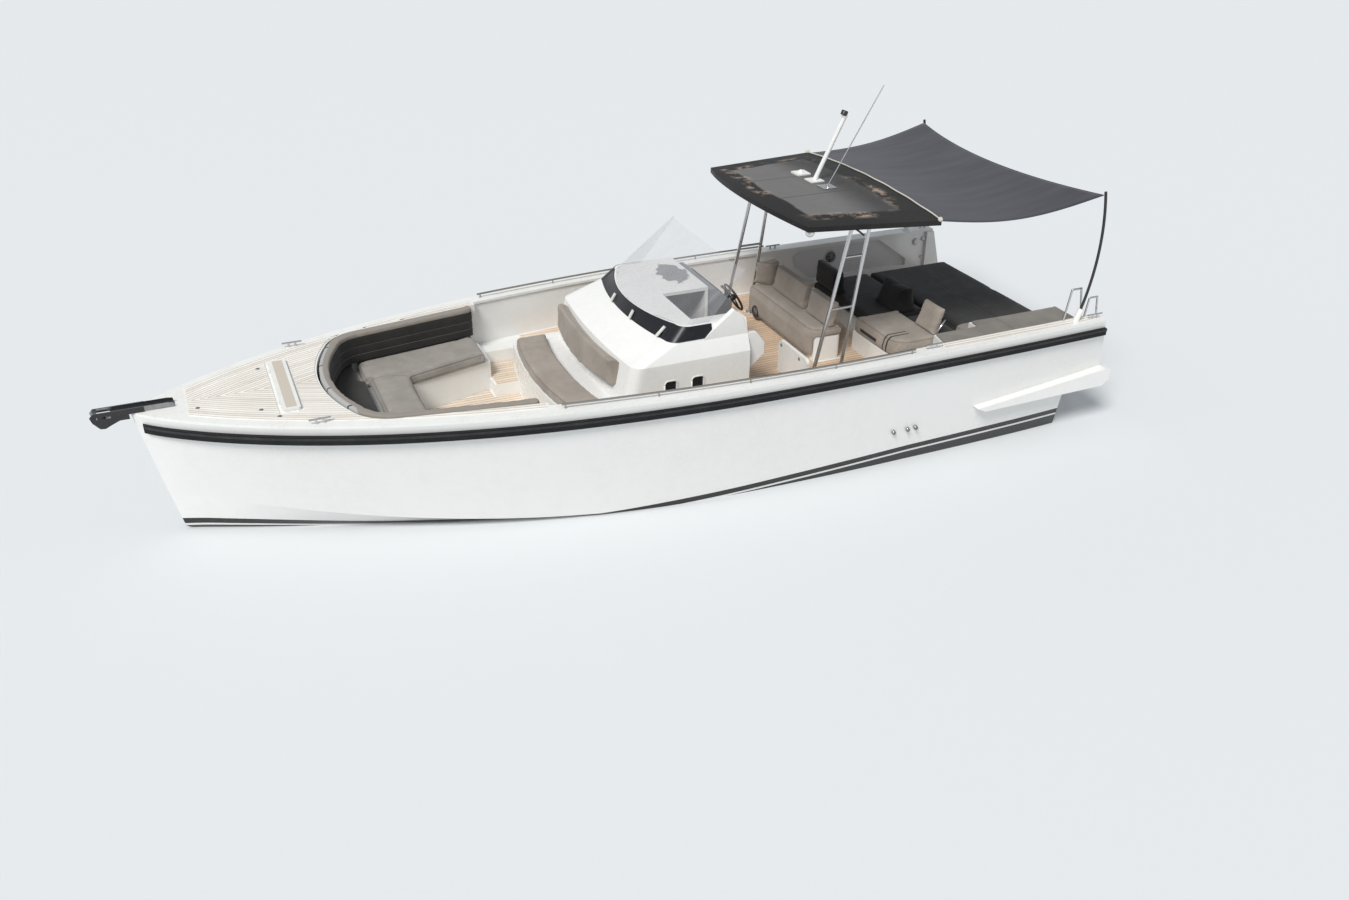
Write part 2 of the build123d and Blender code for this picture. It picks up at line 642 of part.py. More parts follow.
# Dark band of glazing round the console's top edge, standing proud of the moulding
BAND_LEVELS = ((BAND_X, BAND_HALF, BAND_Z, BAND_BOW), (TOP_X, TOP_HALF, TOP_Z, TOP_BOW))
band = []
for proud, aft_x in ((GLASS_THICK, SCREEN_FOOT_X), (0, SCREEN_FOOT_X - 50)):
    band.append(loft([console_face(x + proud, half + proud, aft_x, z, bow=bow)
                      for x, half, z, bow in BAND_LEVELS], ruled=True))
save("glazing_band", band[0] - band[1] - cheek)

# Windscreen, one bent pane raked aft from the console's top edge to a nearly straight top
foot_x, foot_half = TOP_X - SCREEN_INSET / 5, TOP_HALF - SCREEN_INSET
head_aft_x = SCREEN_TOP_X - SCREEN_TOP_BOW - SCREEN_TOP_CORNER - 20
screen = []
for thick, reach in ((0, 0), (GLASS_THICK, 200)):
    screen.append(loft([
        console_face(foot_x - 2 * thick, foot_half - thick, SCREEN_FOOT_X - reach, TOP_Z, bow=TOP_BOW),
        console_face(SCREEN_TOP_X - 2 * thick, SCREEN_TOP_HALF - thick, head_aft_x - reach, SCREEN_TOP_Z,
                     SCREEN_TOP_CORNER, SCREEN_TOP_BOW)], ruled=True))
save("windscreen", screen[0] - screen[1])

# Dash behind the starboard part of the console, with the wheel on its column
dash = side_plate(
    [(CONSOLE_AFT_X, SOLE_Z + TEAK_THICK), (CONSOLE_AFT_X, DASH_Z), (CONSOLE_AFT_X - 120, DASH_Z),
     (DASH_AFT_X, DASH_Z - 200), (DASH_AFT_X, DASH_Z - 370), (CONSOLE_AFT_X - 160, SOLE_Z + TEAK_THICK)],
    DASH_STBD_Y, DASH_PORT_Y)
wheel_plane = Plane(origin=(WHEEL_X, WHEEL_Y, WHEEL_Z), x_dir=(0, 1, 0),
                    z_dir=Vector(-1, 0, 0).rotate(Axis.Y, 90 - WHEEL_TILT))
column = extrude(wheel_plane.offset(-WHEEL_HUB_DEEP - SEAT_GAP) * Circle(COLUMN_DIA / 2), -COLUMN_LONG)
save("dash", dash + column)
spoke = WHEEL_DIA / 2 - WHEEL_RIM / 2
wheel = wheel_plane * Torus(spoke, WHEEL_RIM / 2)
wheel += extrude(wheel_plane.offset(-WHEEL_HUB_DEEP) * Circle(WHEEL_HUB / 2), WHEEL_HUB_DEEP + 10)
for turn in (0, 120, 240):
    wheel += wheel_plane * Rot(0, 0, turn) * Pos(0, spoke / 2, 0) * Box(WHEEL_RIM, spoke, 10)
save("steering_wheel", wheel)

# Bow seat: a long cushion on each side, one across the front, a low dark pad in the bow and a backrest round it
cut_inner = slab(make_face(Polyline(
    (WELL_AFT_X - 50, -FOOTWELL_AFT_Y + 40), (WELL_AFT_X - 50, FOOTWELL_AFT_Y - 40),
    (FOOTWELL_FORE_X - 40, FOOTWELL_FORE_Y - 20), (FOOTWELL_FORE_X - 40, 20 - FOOTWELL_FORE_Y),
    close=True)), BOW_SEAT_Z - 50, SHEER_Z)
seat_z = BOW_SEAT_Z + SOFT_GAP
seat_u = slab(well_outline(-SOFT_GAP), seat_z, BOW_SEAT_Z + BOW_CUSHION) - cut_inner
seat_u -= block(WELL_AFT_X - 50, WELL_AFT_X + 60, -HALF_BEAM, HALF_BEAM, BOW_SEAT_Z - 10, SHEER_Z)
front = block(FOOTWELL_FORE_X - 60, BOW_FRONT_X, -BOW_FRONT_HALF, BOW_FRONT_HALF, BOW_SEAT_Z, SHEER_Z)
gap = BOW_CUSHION_GAP
front_clear = block(FOOTWELL_FORE_X - 60, BOW_FRONT_X + gap, -BOW_FRONT_HALF - gap, BOW_FRONT_HALF + gap,
                    BOW_SEAT_Z, SHEER_Z)
long_end = block(BOW_LONG_FORE_X, WELL_FRONT_X + 50, -HALF_BEAM, HALF_BEAM, BOW_SEAT_Z, SHEER_Z)
long_clear = block(BOW_LONG_FORE_X + gap, WELL_FRONT_X + 50, -HALF_BEAM, HALF_BEAM, BOW_SEAT_Z, SHEER_Z)
middle = block(BOW_FRONT_X + gap, WELL_FRONT_X + 50, -BOW_FRONT_HALF, BOW_FRONT_HALF, BOW_SEAT_Z, SHEER_Z)
side_seats = seat_u - front_clear - long_end - block(
    BOW_FRONT_X, WELL_FRONT_X + 50, -BOW_FRONT_HALF - gap, BOW_FRONT_HALF + gap, BOW_SEAT_Z, SHEER_Z)
save("bow_cushions", side_seats, seat_u & front)
save("bow_pad", seat_u & (long_clear + middle))
bow_back = slab(well_outline(-SOFT_GAP), BOW_SEAT_Z + BOW_CUSHION + SOFT_GAP, BOW_BACK_Z)
bow_back -= slab(well_outline(-BACKREST), BOW_SEAT_Z, BOW_BACK_Z + 50)
bow_back -= block(WELL_AFT_X - 50, WELL_AFT_X + 40, -HALF_BEAM, HALF_BEAM, BOW_SEAT_Z, BOW_BACK_Z + 50)
save("bow_backrest", bow_back)

# Seat and backrest on the console's front, both bent to its curve
console_skin = console_form(-SOFT_GAP, TOP_Z)
seat_front = console_face(PLINTH_FRONT_X, CONSOLE_SEAT_HALF, 0, 0, SEAT_CORNER, PLINTH_BOW)
seat_back = console_face(PLINTH_FRONT_X - SEAT_DEPTH, CONSOLE_SEAT_HALF + 400, 0, 0, bow=PLINTH_BOW + 50)
save("console_seat", slab(seat_front, PLINTH_Z + SOFT_GAP, PLINTH_Z + CUSHION)
     - slab(seat_back, PLINTH_Z, PLINTH_Z + CUSHION + 10))
BACK_LEVELS = ((SEAT_BACK_FOOT, SEAT_BACK_LOW, SEAT_BACK_FOOT_BOW), (SEAT_BACK_HEAD, SEAT_BACK_HIGH, SEAT_BACK_HEAD_BOW))
back = loft([console_face(CONSOLE_FRONT_X + out, CONSOLE_BACK_HALF, 0, z, SEAT_CORNER, bow)
             for out, z, bow in BACK_LEVELS], ruled=True)
save("console_backrest", back - console_skin)


def rounded_plan(x0, x1, y0, y1, rounds):
    """A rectangle in plan whose fore corners are rounded, starboard and port."""
    face = make_face(Polyline((x0, y0), (x1, y0), (x1, y1), (x0, y1), close=True))
    for place, radius in zip((0, -1), rounds):
        corner = face.vertices().filter_by_position(Axis.X, x1 - 0.1, x1 + 0.1).sort_by(Axis.Y)[place]
        face = fillet(corner, radius)
    return face


# Helm bench: a white base, a seat pad whose front hangs down before it, and three leaning backrests
base_x = BENCH_FRONT_X - BENCH_FRONT_THICK
bench = block(BENCH_AFT_X, base_x, BENCH_STBD_Y + 15, BENCH_PORT_Y - 15, SOLE_Z, BENCH_TOP_Z)
save("helm_bench", fillet(bench.edges().filter_by(Axis.Z), BENCH_TOE))
seat_top = BENCH_TOP_Z + CUSHION
bench_pad = side_plate(
    [(BENCH_FRONT_X, BENCH_FRONT_LOW_Z), (BENCH_FRONT_X, seat_top), (BENCH_AFT_X, seat_top),
     (BENCH_AFT_X, BENCH_TOP_Z + SOFT_GAP), (base_x + SOFT_GAP, BENCH_TOP_Z + SOFT_GAP),
     (base_x + SOFT_GAP, BENCH_FRONT_LOW_Z)], BENCH_STBD_Y, BENCH_PORT_Y)
bench_plan = rounded_plan(BENCH_AFT_X, BENCH_FRONT_X, BENCH_STBD_Y, BENCH_PORT_Y, (BENCH_ROUND / 3, BENCH_ROUND))
save("helm_cushion", bench_pad & slab(bench_plan, 0, 2 * BENCH_TOP_Z))
back_z0, back_z1 = seat_top + SOFT_GAP, seat_top + BENCH_BACK_HIGH
back_aft = BENCH_BACK_X - BENCH_BACK_THICK
BENCH_BACKS = ((-900, -60), (0, 580))
BENCH_BACK_GAP = 50
backs = []
for y0, y1 in BENCH_BACKS:
    backs.append(side_plate(
        [(back_aft, back_z0), (BENCH_BACK_X, back_z0), (BENCH_BACK_X - BENCH_BACK_LEAN, back_z1),
         (back_aft - BENCH_BACK_LEAN / 2, back_z1)], y0, y1))
end_plan = [(BENCH_BACK_X + 170, BENCH_STBD_Y + 5), (BENCH_BACK_X - 15, BENCH_BACKS[0][0] - BENCH_BACK_GAP),
            (back_aft, BENCH_BACKS[0][0] - BENCH_BACK_GAP), (back_aft, BENCH_STBD_Y + 5)]
end_faces = [Pos(shift, 0, z) * make_face(Polyline(*end_plan, close=True))
             for shift, z in ((0, back_z0), (-BENCH_BACK_LEAN / 2, back_z1))]
save("helm_backrests", *backs, loft(end_faces, ruled=True))

# A low upright board that stands across the port side deck, its top corners rounded
board = side_plate([(BOARD_X - BOARD_THICK / 2, SOLE_Z), (BOARD_X + BOARD_THICK / 2, SOLE_Z),
                    (BOARD_X + BOARD_THICK / 2, BOARD_TOP_Z), (BOARD_X - BOARD_THICK / 2, BOARD_TOP_Z)],
                   BOARD_IN_Y, BOARD_OUT_Y)
save("side_board", fillet(board.edges().filter_by(Axis.X).group_by(Axis.Z)[-1], BOARD_ROUND))

# Port seat: a base with a rounded corner, its thick cushion, a dark pad behind and a wedge backrest
port_plan = rounded_plan(PORT_SEAT_AFT_X, PORT_SEAT_FORE_X, PORT_SEAT_IN_Y, PORT_SEAT_OUT_Y, (20, PORT_SEAT_ROUND))
save("port_seat", slab(port_plan, SOLE_Z, PORT_SEAT_TOP_Z))
split_x = PORT_BACK_FORE_X - 115
pad_z0, pad_z1 = PORT_SEAT_TOP_Z + SOFT_GAP, PORT_SEAT_TOP_Z + PORT_CUSHION
port_cushion = slab(port_plan, pad_z0, pad_z1)
port_cushion -= block(PORT_SEAT_AFT_X - 10, split_x, PORT_SEAT_IN_Y - 10, PORT_SEAT_OUT_Y + 10, SOLE_Z, pad_z1 + 10)
save("port_cushion", port_cushion)
save("port_pad", block(PORT_SEAT_AFT_X + 4, split_x - 6, PORT_SEAT_IN_Y, PORT_SEAT_OUT_Y,
                       pad_z0, PORT_SEAT_TOP_Z + 90))
wedge_z0, wedge_z1 = pad_z1 + SOFT_GAP, pad_z1 + PORT_BACK_HIGH
save("port_backrest", side_plate(
    [(split_x, wedge_z0), (PORT_BACK_FORE_X, wedge_z0), (PORT_BACK_FORE_X - 130, wedge_z1),
     (split_x - 80, wedge_z1)], PORT_BACK_Y0, PORT_BACK_Y1))

# Padded side locker between the sun lounge and the port gunwale
quarter_plan = make_face(Polyline(
    (LID_AFT_X, QUARTER_IN_Y), (PORT_SEAT_AFT_X - 15, QUARTER_IN_Y), (PORT_SEAT_AFT_X - 15, PORT_SEAT_OUT_Y + 15),
    (QUARTER_FORE_X, PORT_SEAT_OUT_Y + 15), (QUARTER_FORE_X + QUARTER_SLANT, HALF_BEAM), (LID_AFT_X, HALF_BEAM), close=True))
save("quarter_locker", slab(quarter_plan, SOLE_Z, QUARTER_Z) & slab(cockpit_face, SOLE_Z, QUARTER_Z))
inside = slab(sheer_face(COCKPIT_STATIONS, CAP_WIDTH + 10), SOLE_Z, DECK_Z)
save("quarter_pad", slab(quarter_plan, QUARTER_Z + SOFT_GAP, QUARTER_Z + 45) & inside)

# Sofa ahead of the sun lounge, to starboard, with two loose backrests
save("sofa_base", block(LID_FORE_X + LID_GAP, SOFA_FORE_X, -LID_HALF, SOFA_PORT_Y, SOLE_Z, LID_TOP_Z))
save("sofa_cushion", block(LID_FORE_X + LID_GAP + 4, SOFA_FORE_X, -LID_HALF, SOFA_PORT_Y,
                           LID_TOP_Z + SOFT_GAP, LID_TOP_Z + CUSHION))
back_z = LID_TOP_Z + CUSHION + SOFT_GAP
# Each backrest: aft and fore edge at its foot, aft and fore edge at its head, and its two ends along Y
SOFA_BACKS = (
    (SOFA_FORE_X - 190, SOFA_FORE_X - 10, SOFA_FORE_X - 110, SOFA_FORE_X - 10, 30 - LID_HALF, 620 - LID_HALF),
    (SOFA_FORE_X - 720, SOFA_FORE_X - 360, SOFA_FORE_X - 630, SOFA_FORE_X - 500, -190, SOFA_PORT_Y - 20),
)
save("sofa_backrests", *[
    side_plate([(foot0, back_z), (foot1, back_z), (head1, back_z + SOFA_BACK_HIGH), (head0, back_z + SOFA_BACK_HIGH)],
               y0, y1) for foot0, foot1, head0, head1, y0, y1 in SOFA_BACKS])

# Sun lounge: a hollow lid over the engine bay that carries its pads
lid = block(LID_AFT_X, LID_FORE_X, -LID_HALF, LID_HALF, SOLE_Z + SEAT_GAP, LID_TOP_Z)
lid -= block(LID_AFT_X + LID_WALL, LID_FORE_X - LID_WALL, LID_WALL - LID_HALF, LID_HALF - LID_WALL,
             SOLE_Z, LID_TOP_Z - LID_WALL)
for knuckle in lounge_knuckles:
    lid += knuckle
save("lounge_lid", lid)
pads = []
for y0, y1 in ((-LID_HALF, -4), (4, LID_HALF)):
    pads.append(block(LID_AFT_X, LID_FORE_X - 2, y0, y1, LID_TOP_Z + SOFT_GAP, LID_TOP_Z + CUSHION))
save("lounge_pads", *pads)
save("engines", *[block(ENGINE_AFT_X, ENGINE_FORE_X, y - ENGINE_HALF, y + ENGINE_HALF, BAY_FLOOR_Z, ENGINE_TOP_Z)
                  for y in (-ENGINE_Y, ENGINE_Y)])

# Hardtop: its plan cut from a cambered shell
roof_face = make_face([
    Line((ROOF_REAR_X, -ROOF_REAR_HALF), (ROOF_REAR_X, ROOF_REAR_HALF)),
    Line((ROOF_REAR_X, ROOF_REAR_HALF), (ROOF_FRONT_X, ROOF_FRONT_HALF)),
    ThreePointArc((ROOF_FRONT_X, ROOF_FRONT_HALF), (ROOF_FRONT_X + ROOF_FRONT_BOW, 0),
                  (ROOF_FRONT_X, -ROOF_FRONT_HALF)),
    Line((ROOF_FRONT_X, -ROOF_FRONT_HALF), (ROOF_REAR_X, -ROOF_REAR_HALF)),
])


def under_camber(edge_z):
    """All the space under the roof's cross-curve when that curve meets its edges at edge_z."""
    x = ROOF_REAR_X - 100
    half = ROOF_REAR_HALF + 200
    section = make_face([
        ThreePointArc((x, -half, edge_z), (x, 0, edge_z + ROOF_CAMBER), (x, half, edge_z)),
        Line((x, half, edge_z), (x, half, 0)),
        Line((x, half, 0), (x, -half, 0)),
        Line((x, -half, 0), (x, -half, edge_z)),
    ])
    return extrude(section, ROOF_FRONT_X + ROOF_FRONT_BOW - x + 100, dir=(1, 0, 0))


roof_top = ROOF_EDGE_Z + ROOF_CAMBER
below_roof = under_camber(ROOF_EDGE_Z - ROOF_THICK)
to_roof_top = under_camber(ROOF_EDGE_Z)
save("hardtop", slab(roof_face, ROOF_EDGE_Z / 2, roof_top + 50) & (to_roof_top - below_roof))

# Twin tubes on each side that carry the hardtop from the sole, with two rungs
legs = []
for foot_x, head_x in zip(LEG_FOOT_XS, LEG_HEAD_XS):
    tube = rod((foot_x, LEG_Y, SOLE_Z), (head_x, LEG_Y, LEG_HEAD_Z + 60), LEG_DIA)
    tube += slab(Pos(foot_x, LEG_Y) * Circle(LEG_FLANGE / 2), SOLE_Z, SOLE_Z + 10)
    legs.append(tube)
leg = legs[0] + legs[1]
for rung_z in RUNG_ZS:
    share = (rung_z - SOLE_Z) / (LEG_HEAD_Z + 60 - SOLE_Z)
    leg += rod(*[(foot_x + (head_x - foot_x) * share, LEG_Y, rung_z)
                 for foot_x, head_x in zip(LEG_FOOT_XS, LEG_HEAD_XS)], RUNG_DIA)
leg = (leg & below_roof) - block(LEG_FOOT_XS[1] - 200, LEG_FOOT_XS[0] + 200, 0, 2 * LEG_Y, 0, SOLE_Z)
save("roof_legs", leg, other_side(leg))


def roof_plate(y):
    """A square foot plate on the roof, let into its curve below."""
    half = ROOF_PLATE / 2
    return block(MAST_X - half, MAST_X + half, y - half, y + half, roof_top - 40, roof_top + ROOF_PLATE_THICK)


# Roof gear, each on a plate: a leaning mast with a lamp, a small dome lamp and a whip aerial
mast_head = Vector(MAST_HEAD_X, MAST_Y, MAST_HEAD_Z)
mast_foot = Vector(MAST_X, MAST_Y, roof_top)
mast = rod(mast_foot, mast_head, MAST_DIA) + roof_plate(MAST_Y)
mast += rod(mast_head, mast_head + Vector(0, 0, MAST_LAMP_LONG), MAST_LAMP_DIA)
dome = roof_plate(ROOF_LAMP_Y) + Pos(MAST_X, ROOF_LAMP_Y, roof_top + ROOF_PLATE_THICK) * Sphere(ROOF_LAMP_DIA / 2)
aerial = rod((MAST_X, AERIAL_Y, roof_top), (AERIAL_HEAD[0], AERIAL_Y, AERIAL_HEAD[1]), AERIAL_DIA)
for name, piece in (("mast", mast), ("roof_dome", dome), ("aerial", aerial + roof_plate(AERIAL_Y))):
    save(name, piece - to_roof_top)

# Shade cloth, drawn out between the hardtop and two poles, with hollow edges
shade_fore_x = ROOF_REAR_X - SHADE_GAP
mid_x, mid_y = (shade_fore_x + SHADE_AFT_X) / 2, (ROOF_REAR_HALF + SHADE_AFT_HALF) / 2 - SHADE_SIDE_CURVE
shade_plan = make_face([
    Line((shade_fore_x, -ROOF_REAR_HALF), (shade_fore_x, ROOF_REAR_HALF)),
    ThreePointArc((shade_fore_x, ROOF_REAR_HALF), (mid_x, mid_y), (SHADE_AFT_X, SHADE_AFT_HALF)),
    ThreePointArc((SHADE_AFT_X, SHADE_AFT_HALF), (SHADE_AFT_X + SHADE_CURVE, 0), (SHADE_AFT_X, -SHADE_AFT_HALF)),
    ThreePointArc((SHADE_AFT_X, -SHADE_AFT_HALF), (mid_x, -mid_y), (shade_fore_x, -ROOF_REAR_HALF)),
])
shade_slope = side_plate(
    [(shade_fore_x, SHADE_FORE_Z), (SHADE_AFT_X, SHADE_AFT_Z), (SHADE_AFT_X, SHADE_AFT_Z + SHADE_THICK),
     (shade_fore_x, SHADE_FORE_Z + SHADE_THICK)], -2 * SHADE_AFT_HALF, 2 * SHADE_AFT_HALF)
save("shade_cloth", slab(shade_plan, SHADE_FORE_Z - 300, SHADE_AFT_Z + 300) & shade_slope)

# Bowed poles that hold the cloth, in raked sockets on the gunwale
poles = []
sockets = []
for side in (1, -1):
    foot_y = side * (half_beam(POLE_FOOT_X) - POLE_IN)
    foot = Vector(POLE_FOOT_X, foot_y, DECK_Z + 20)
    corner = Vector(SHADE_AFT_X, side * SHADE_AFT_HALF, SHADE_AFT_Z + SHADE_THICK / 2)
    head = corner + Vector(-0.8, 0.6 * side, 0) * (POLE_DIA / 2 + SOFT_GAP)
    belly = (POLE_BELLY_X, (foot.Y + head.Y) / 2, POLE_BELLY_Z)
    curve = ThreePointArc(foot, belly, head)
    pole = sweep(Plane(origin=foot, z_dir=curve % 0) * Circle(POLE_DIA / 2), curve)
    pole += rod(head, head + (curve % 1) * POLE_ABOVE, POLE_DIA)
    socket = rod(foot - (curve % 0) * 60, foot + (curve % 0) * SOCKET_LONG, SOCKET_DIA)
    socket += slab(Pos(foot.X, foot.Y) * Circle(SOCKET_FLANGE / 2), DECK_Z, DECK_Z + 10)
    socket -= block(foot.X - 200, foot.X + 200, foot.Y - 200, foot.Y + 200, DECK_Z - 200, DECK_Z)
    poles.append(pole)
    sockets.append(socket - pole)
save("shade_poles", *poles)
save("pole_sockets", *sockets)

# Handrails along the inner edge of both gunwales, each one bent tube on short posts
RAIL_STATIONS = (-2300, -200, 1900)
rail_z = DECK_Z + RAIL_STAND
rail_arc = ThreePointArc(*[(x, half_beam(x) - CAP_WIDTH + RAIL_IN, rail_z) for x in RAIL_STATIONS])
rail = sweep(Plane(origin=rail_arc @ 0, z_dir=rail_arc % 0) * Circle(RAIL_DIA / 2), rail_arc)
for share in (0.01, 0.25, 0.5, 0.75, 0.99):
    post = rail_arc @ share
    rail += slab(Pos(post.X, post.Y) * Circle(RAIL_POST_DIA / 2), DECK_Z, rail_z)
save("handrails", rail, other_side(rail))

# Bow roller: two bright walls on a floor plate, black cheeks outside them, and a roller on a pin
ROLLER_OUTLINE = [
    (5570, DECK_Z), (5580, DECK_Z + 50), (5640, DECK_Z + 58), (6345, DECK_Z + 58), (6378, DECK_Z + 20), (6360, 1460),
    (6300, 1385), (6250, 1380), (6200, 1405), (6105, 1447), (6010, 1447), (6010, DECK_Z)]
OVAL_X, OVAL_Z, OVAL_LONG, OVAL_HIGH = 6250, 1500, 140, 32
wall_out = ROLLER_WALL_Y + ROLLER_WALL
cheek_out = wall_out + ROLLER_WALL
oval_plane = Plane(origin=(OVAL_X, 0, OVAL_Z), x_dir=(1, 0, 0), z_dir=(0, 1, 0))
oval = extrude(oval_plane * SlotOverall(OVAL_LONG, OVAL_HIGH), cheek_out + 10, both=True)
frame = block(5570, ROLLER_X - 65, -wall_out, wall_out, DECK_Z, DECK_Z + 8)
black = []
for side in (1, -1):
    frame += side_plate(ROLLER_OUTLINE, side * ROLLER_WALL_Y, side * wall_out)
    plate = side_plate(ROLLER_OUTLINE, side * wall_out, side * cheek_out)
    black.append(plate - oval - block(5500, 5860, -cheek_out, cheek_out, DECK_Z - 5, DECK_Z + 80))
frame += rod((ROLLER_X, -wall_out, ROLLER_Z), (ROLLER_X, wall_out, ROLLER_Z), ROLLER_PIN_DIA)
save("bow_roller", frame - oval)
save("roller_cheeks", *black)
drum_ends = ((ROLLER_X, -ROLLER_HALF, ROLLER_Z), (ROLLER_X, ROLLER_HALF, ROLLER_Z))
save("roller_drum", rod(*drum_ends, ROLLER_DIA) - rod(*drum_ends, ROLLER_PIN_DIA + 1))

# Mooring cleats: a horn bar on two posts. Each row: place along X, side, distance in from the sheer
CLEATS = ((-2580, 1, 116), (-2430, -1, 116), (-4950, 1, 84), (-4950, -1, 84), (4250, 1, 78), (4250, -1, 78))
cleats = []
for x, side, inset in CLEATS:
    y = side * (half_beam(x) - inset)
    horn = rod((x - CLEAT_LONG / 2, y, DECK_Z + CLEAT_HIGH), (x + CLEAT_LONG / 2, y, DECK_Z + CLEAT_HIGH),
               CLEAT_BAR_DIA)
    for shift in (-CLEAT_POSTS_APART / 2, CLEAT_POSTS_APART / 2):
        horn += slab(Pos(x + shift, y) * Circle(CLEAT_POST_DIA / 2), DECK_Z, DECK_Z + CLEAT_HIGH)
    cleats.append(horn)
save("cleats", *cleats)

# Two hoop rails at the port quarter. Each row: fore foot, fore bend, aft bend, aft foot, top height
HOOPS = ((-4530, -4585, -4725, -4800, 1900), (-4860, -4895, -5015, -5050, 1745))
hoops = []
for fore, bend0, bend1, aft, top in HOOPS:
    y = half_beam(fore) - HOOP_IN
    points = [(fore, y, DECK_Z), (bend0, y, top), (bend1, y, top), (aft, y, DECK_Z)]
    hoop = rod(points[0], points[1], RAIL_DIA)
    for start, end in zip(points[1:], points[2:]):
        hoop += rod(start, end, RAIL_DIA) + Pos(*start) * Sphere(RAIL_DIA / 2)
    hoops.append(hoop - block(aft - 50, fore + 50, y - 100, y + 100, DECK_Z - 60, DECK_Z))
save("stern_hoops", *hoops)

# Steerable drives below the hull, each with two propellers that turn against each other
for name, y in (("port", DRIVE_Y), ("starboard", -DRIVE_Y)):
    pod_aft = DRIVE_X + POD_FORE - POD_LONG
    pod = extrude(Plane(origin=(pod_aft, y, DRIVE_Z), z_dir=(1, 0, 0)) * Circle(DRIVE_DIA / 2), POD_LONG)
    pod += Pos(pod_aft, y, DRIVE_Z) * Sphere(DRIVE_DIA / 2)
    pod += slab(Pos(DRIVE_X, y) * Ellipse(LEG_LONG / 2, LEG_WIDE / 2), DRIVE_Z, DRIVE_SEAT_Z - 20)
    pod += slab(Pos(DRIVE_X, y) * Circle(DRIVE_FLANGE / 2 - 10), DRIVE_SEAT_Z - 40, DRIVE_SEAT_Z - SEAT_GAP)
    pod += slab(Pos(DRIVE_X, y) * Circle(DRIVE_STEM / 2), DRIVE_SEAT_Z - 40, DRIVE_SEAT_Z + DRIVE_STEM_LONG - 10)
    shaft_start = (DRIVE_X + POD_FORE - 20, y, DRIVE_Z)
    shaft_end = (DRIVE_X + POD_FORE + 2 * (PROP_GAP + HUB_LONG) - 20, y, DRIVE_Z)
    save(f"drive_{name}", pod + rod(shaft_start, shaft_end, SHAFT_DIA))
    for place, turn, hub_dia in (("aft", 1, HUB_DIA), ("fore", -1, HUB_DIA - 20)):
        x = DRIVE_X + POD_FORE + PROP_GAP + (HUB_LONG + PROP_GAP) * (place == "fore")
        prop = extrude(Plane(origin=(x, y, DRIVE_Z), z_dir=(1, 0, 0)) * Circle(hub_dia / 2), HUB_LONG)
        if place == "fore":
            prop += Pos(x + HUB_LONG, y, DRIVE_Z) * Sphere(hub_dia / 2)
        blade = Rot(0, 0, turn * BLADE_PITCH) * Box(BLADE_THICK, BLADE_WIDE, PROP_DIA / 2 - 16)
        for number in range(BLADES):
            around = Pos(x + HUB_LONG / 2, y, DRIVE_Z) * Rot(360 * number / BLADES, 0, 0)
            prop += around * Pos(0, 0, PROP_DIA / 4 + 8) * blade
        save(f"propeller_{name}_{place}", prop - rod(shaft_start, shaft_end, SHAFT_DIA + 2 * SEAT_GAP))
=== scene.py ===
# An open motor day boat with a bow seat, a console and a shaded aft deck.
# X points forward, Y to port and Z up, in metres; z = 0 is the waterline.
import bpy
import math
import numpy as np
from mathutils import Matrix, Vector


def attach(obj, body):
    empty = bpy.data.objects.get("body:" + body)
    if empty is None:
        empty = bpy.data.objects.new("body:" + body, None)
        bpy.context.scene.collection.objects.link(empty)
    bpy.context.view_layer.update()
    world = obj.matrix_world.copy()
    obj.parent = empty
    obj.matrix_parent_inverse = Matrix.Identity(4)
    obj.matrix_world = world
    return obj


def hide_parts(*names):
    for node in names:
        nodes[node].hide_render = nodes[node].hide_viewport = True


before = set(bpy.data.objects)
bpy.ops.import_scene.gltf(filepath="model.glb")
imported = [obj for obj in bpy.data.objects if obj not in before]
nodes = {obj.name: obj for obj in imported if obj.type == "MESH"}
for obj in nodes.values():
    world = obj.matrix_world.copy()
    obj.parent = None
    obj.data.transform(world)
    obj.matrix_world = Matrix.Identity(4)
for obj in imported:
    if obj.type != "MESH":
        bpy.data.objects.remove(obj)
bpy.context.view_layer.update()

# ---- Camera and light
# The camera stands high off the port bow, as in the photograph. One broad soft lamp high to port
# gives the shadow, and the pale world fills the rest.
scene = bpy.context.scene
CAMERA_PLACE = (5.1913, 11.8582, 7.0662)
YAW, PITCH, ROLL = -0.4215, 0.5151, 0.0133
FOCAL, SENSOR, PHOTO_WIDE = 1157.579, 36.0, 1349
ahead = Vector((math.sin(YAW) * math.cos(PITCH), -math.cos(YAW) * math.cos(PITCH), -math.sin(PITCH)))
right = ahead.cross(Vector((0, 0, 1))).normalized()
up = right.cross(ahead)
camera = bpy.data.objects.new("camera", bpy.data.cameras.new("camera"))
scene.collection.objects.link(camera)
turned = Matrix((math.cos(ROLL) * right + math.sin(ROLL) * up,
                 math.cos(ROLL) * up - math.sin(ROLL) * right, -ahead)).transposed()
camera.matrix_world = Matrix.Translation(CAMERA_PLACE) @ turned.to_4x4()
camera.data.sensor_width = SENSOR
camera.data.lens = FOCAL * SENSOR / PHOTO_WIDE
camera.data.clip_end = 400
scene.camera = camera
scene.view_settings.view_transform = "Standard"

TOWARDS_SUN = Vector((0.50, 0.42, 0.76))
sun = bpy.data.objects.new("key_lamp", bpy.data.lights.new("key_lamp", "SUN"))
scene.collection.objects.link(sun)
sun.rotation_euler = TOWARDS_SUN.to_track_quat("Z", "Y").to_euler()
sun.data.energy, sun.data.angle, sun.data.color = 2.95, 0.35, (1.0, 0.985, 0.96)

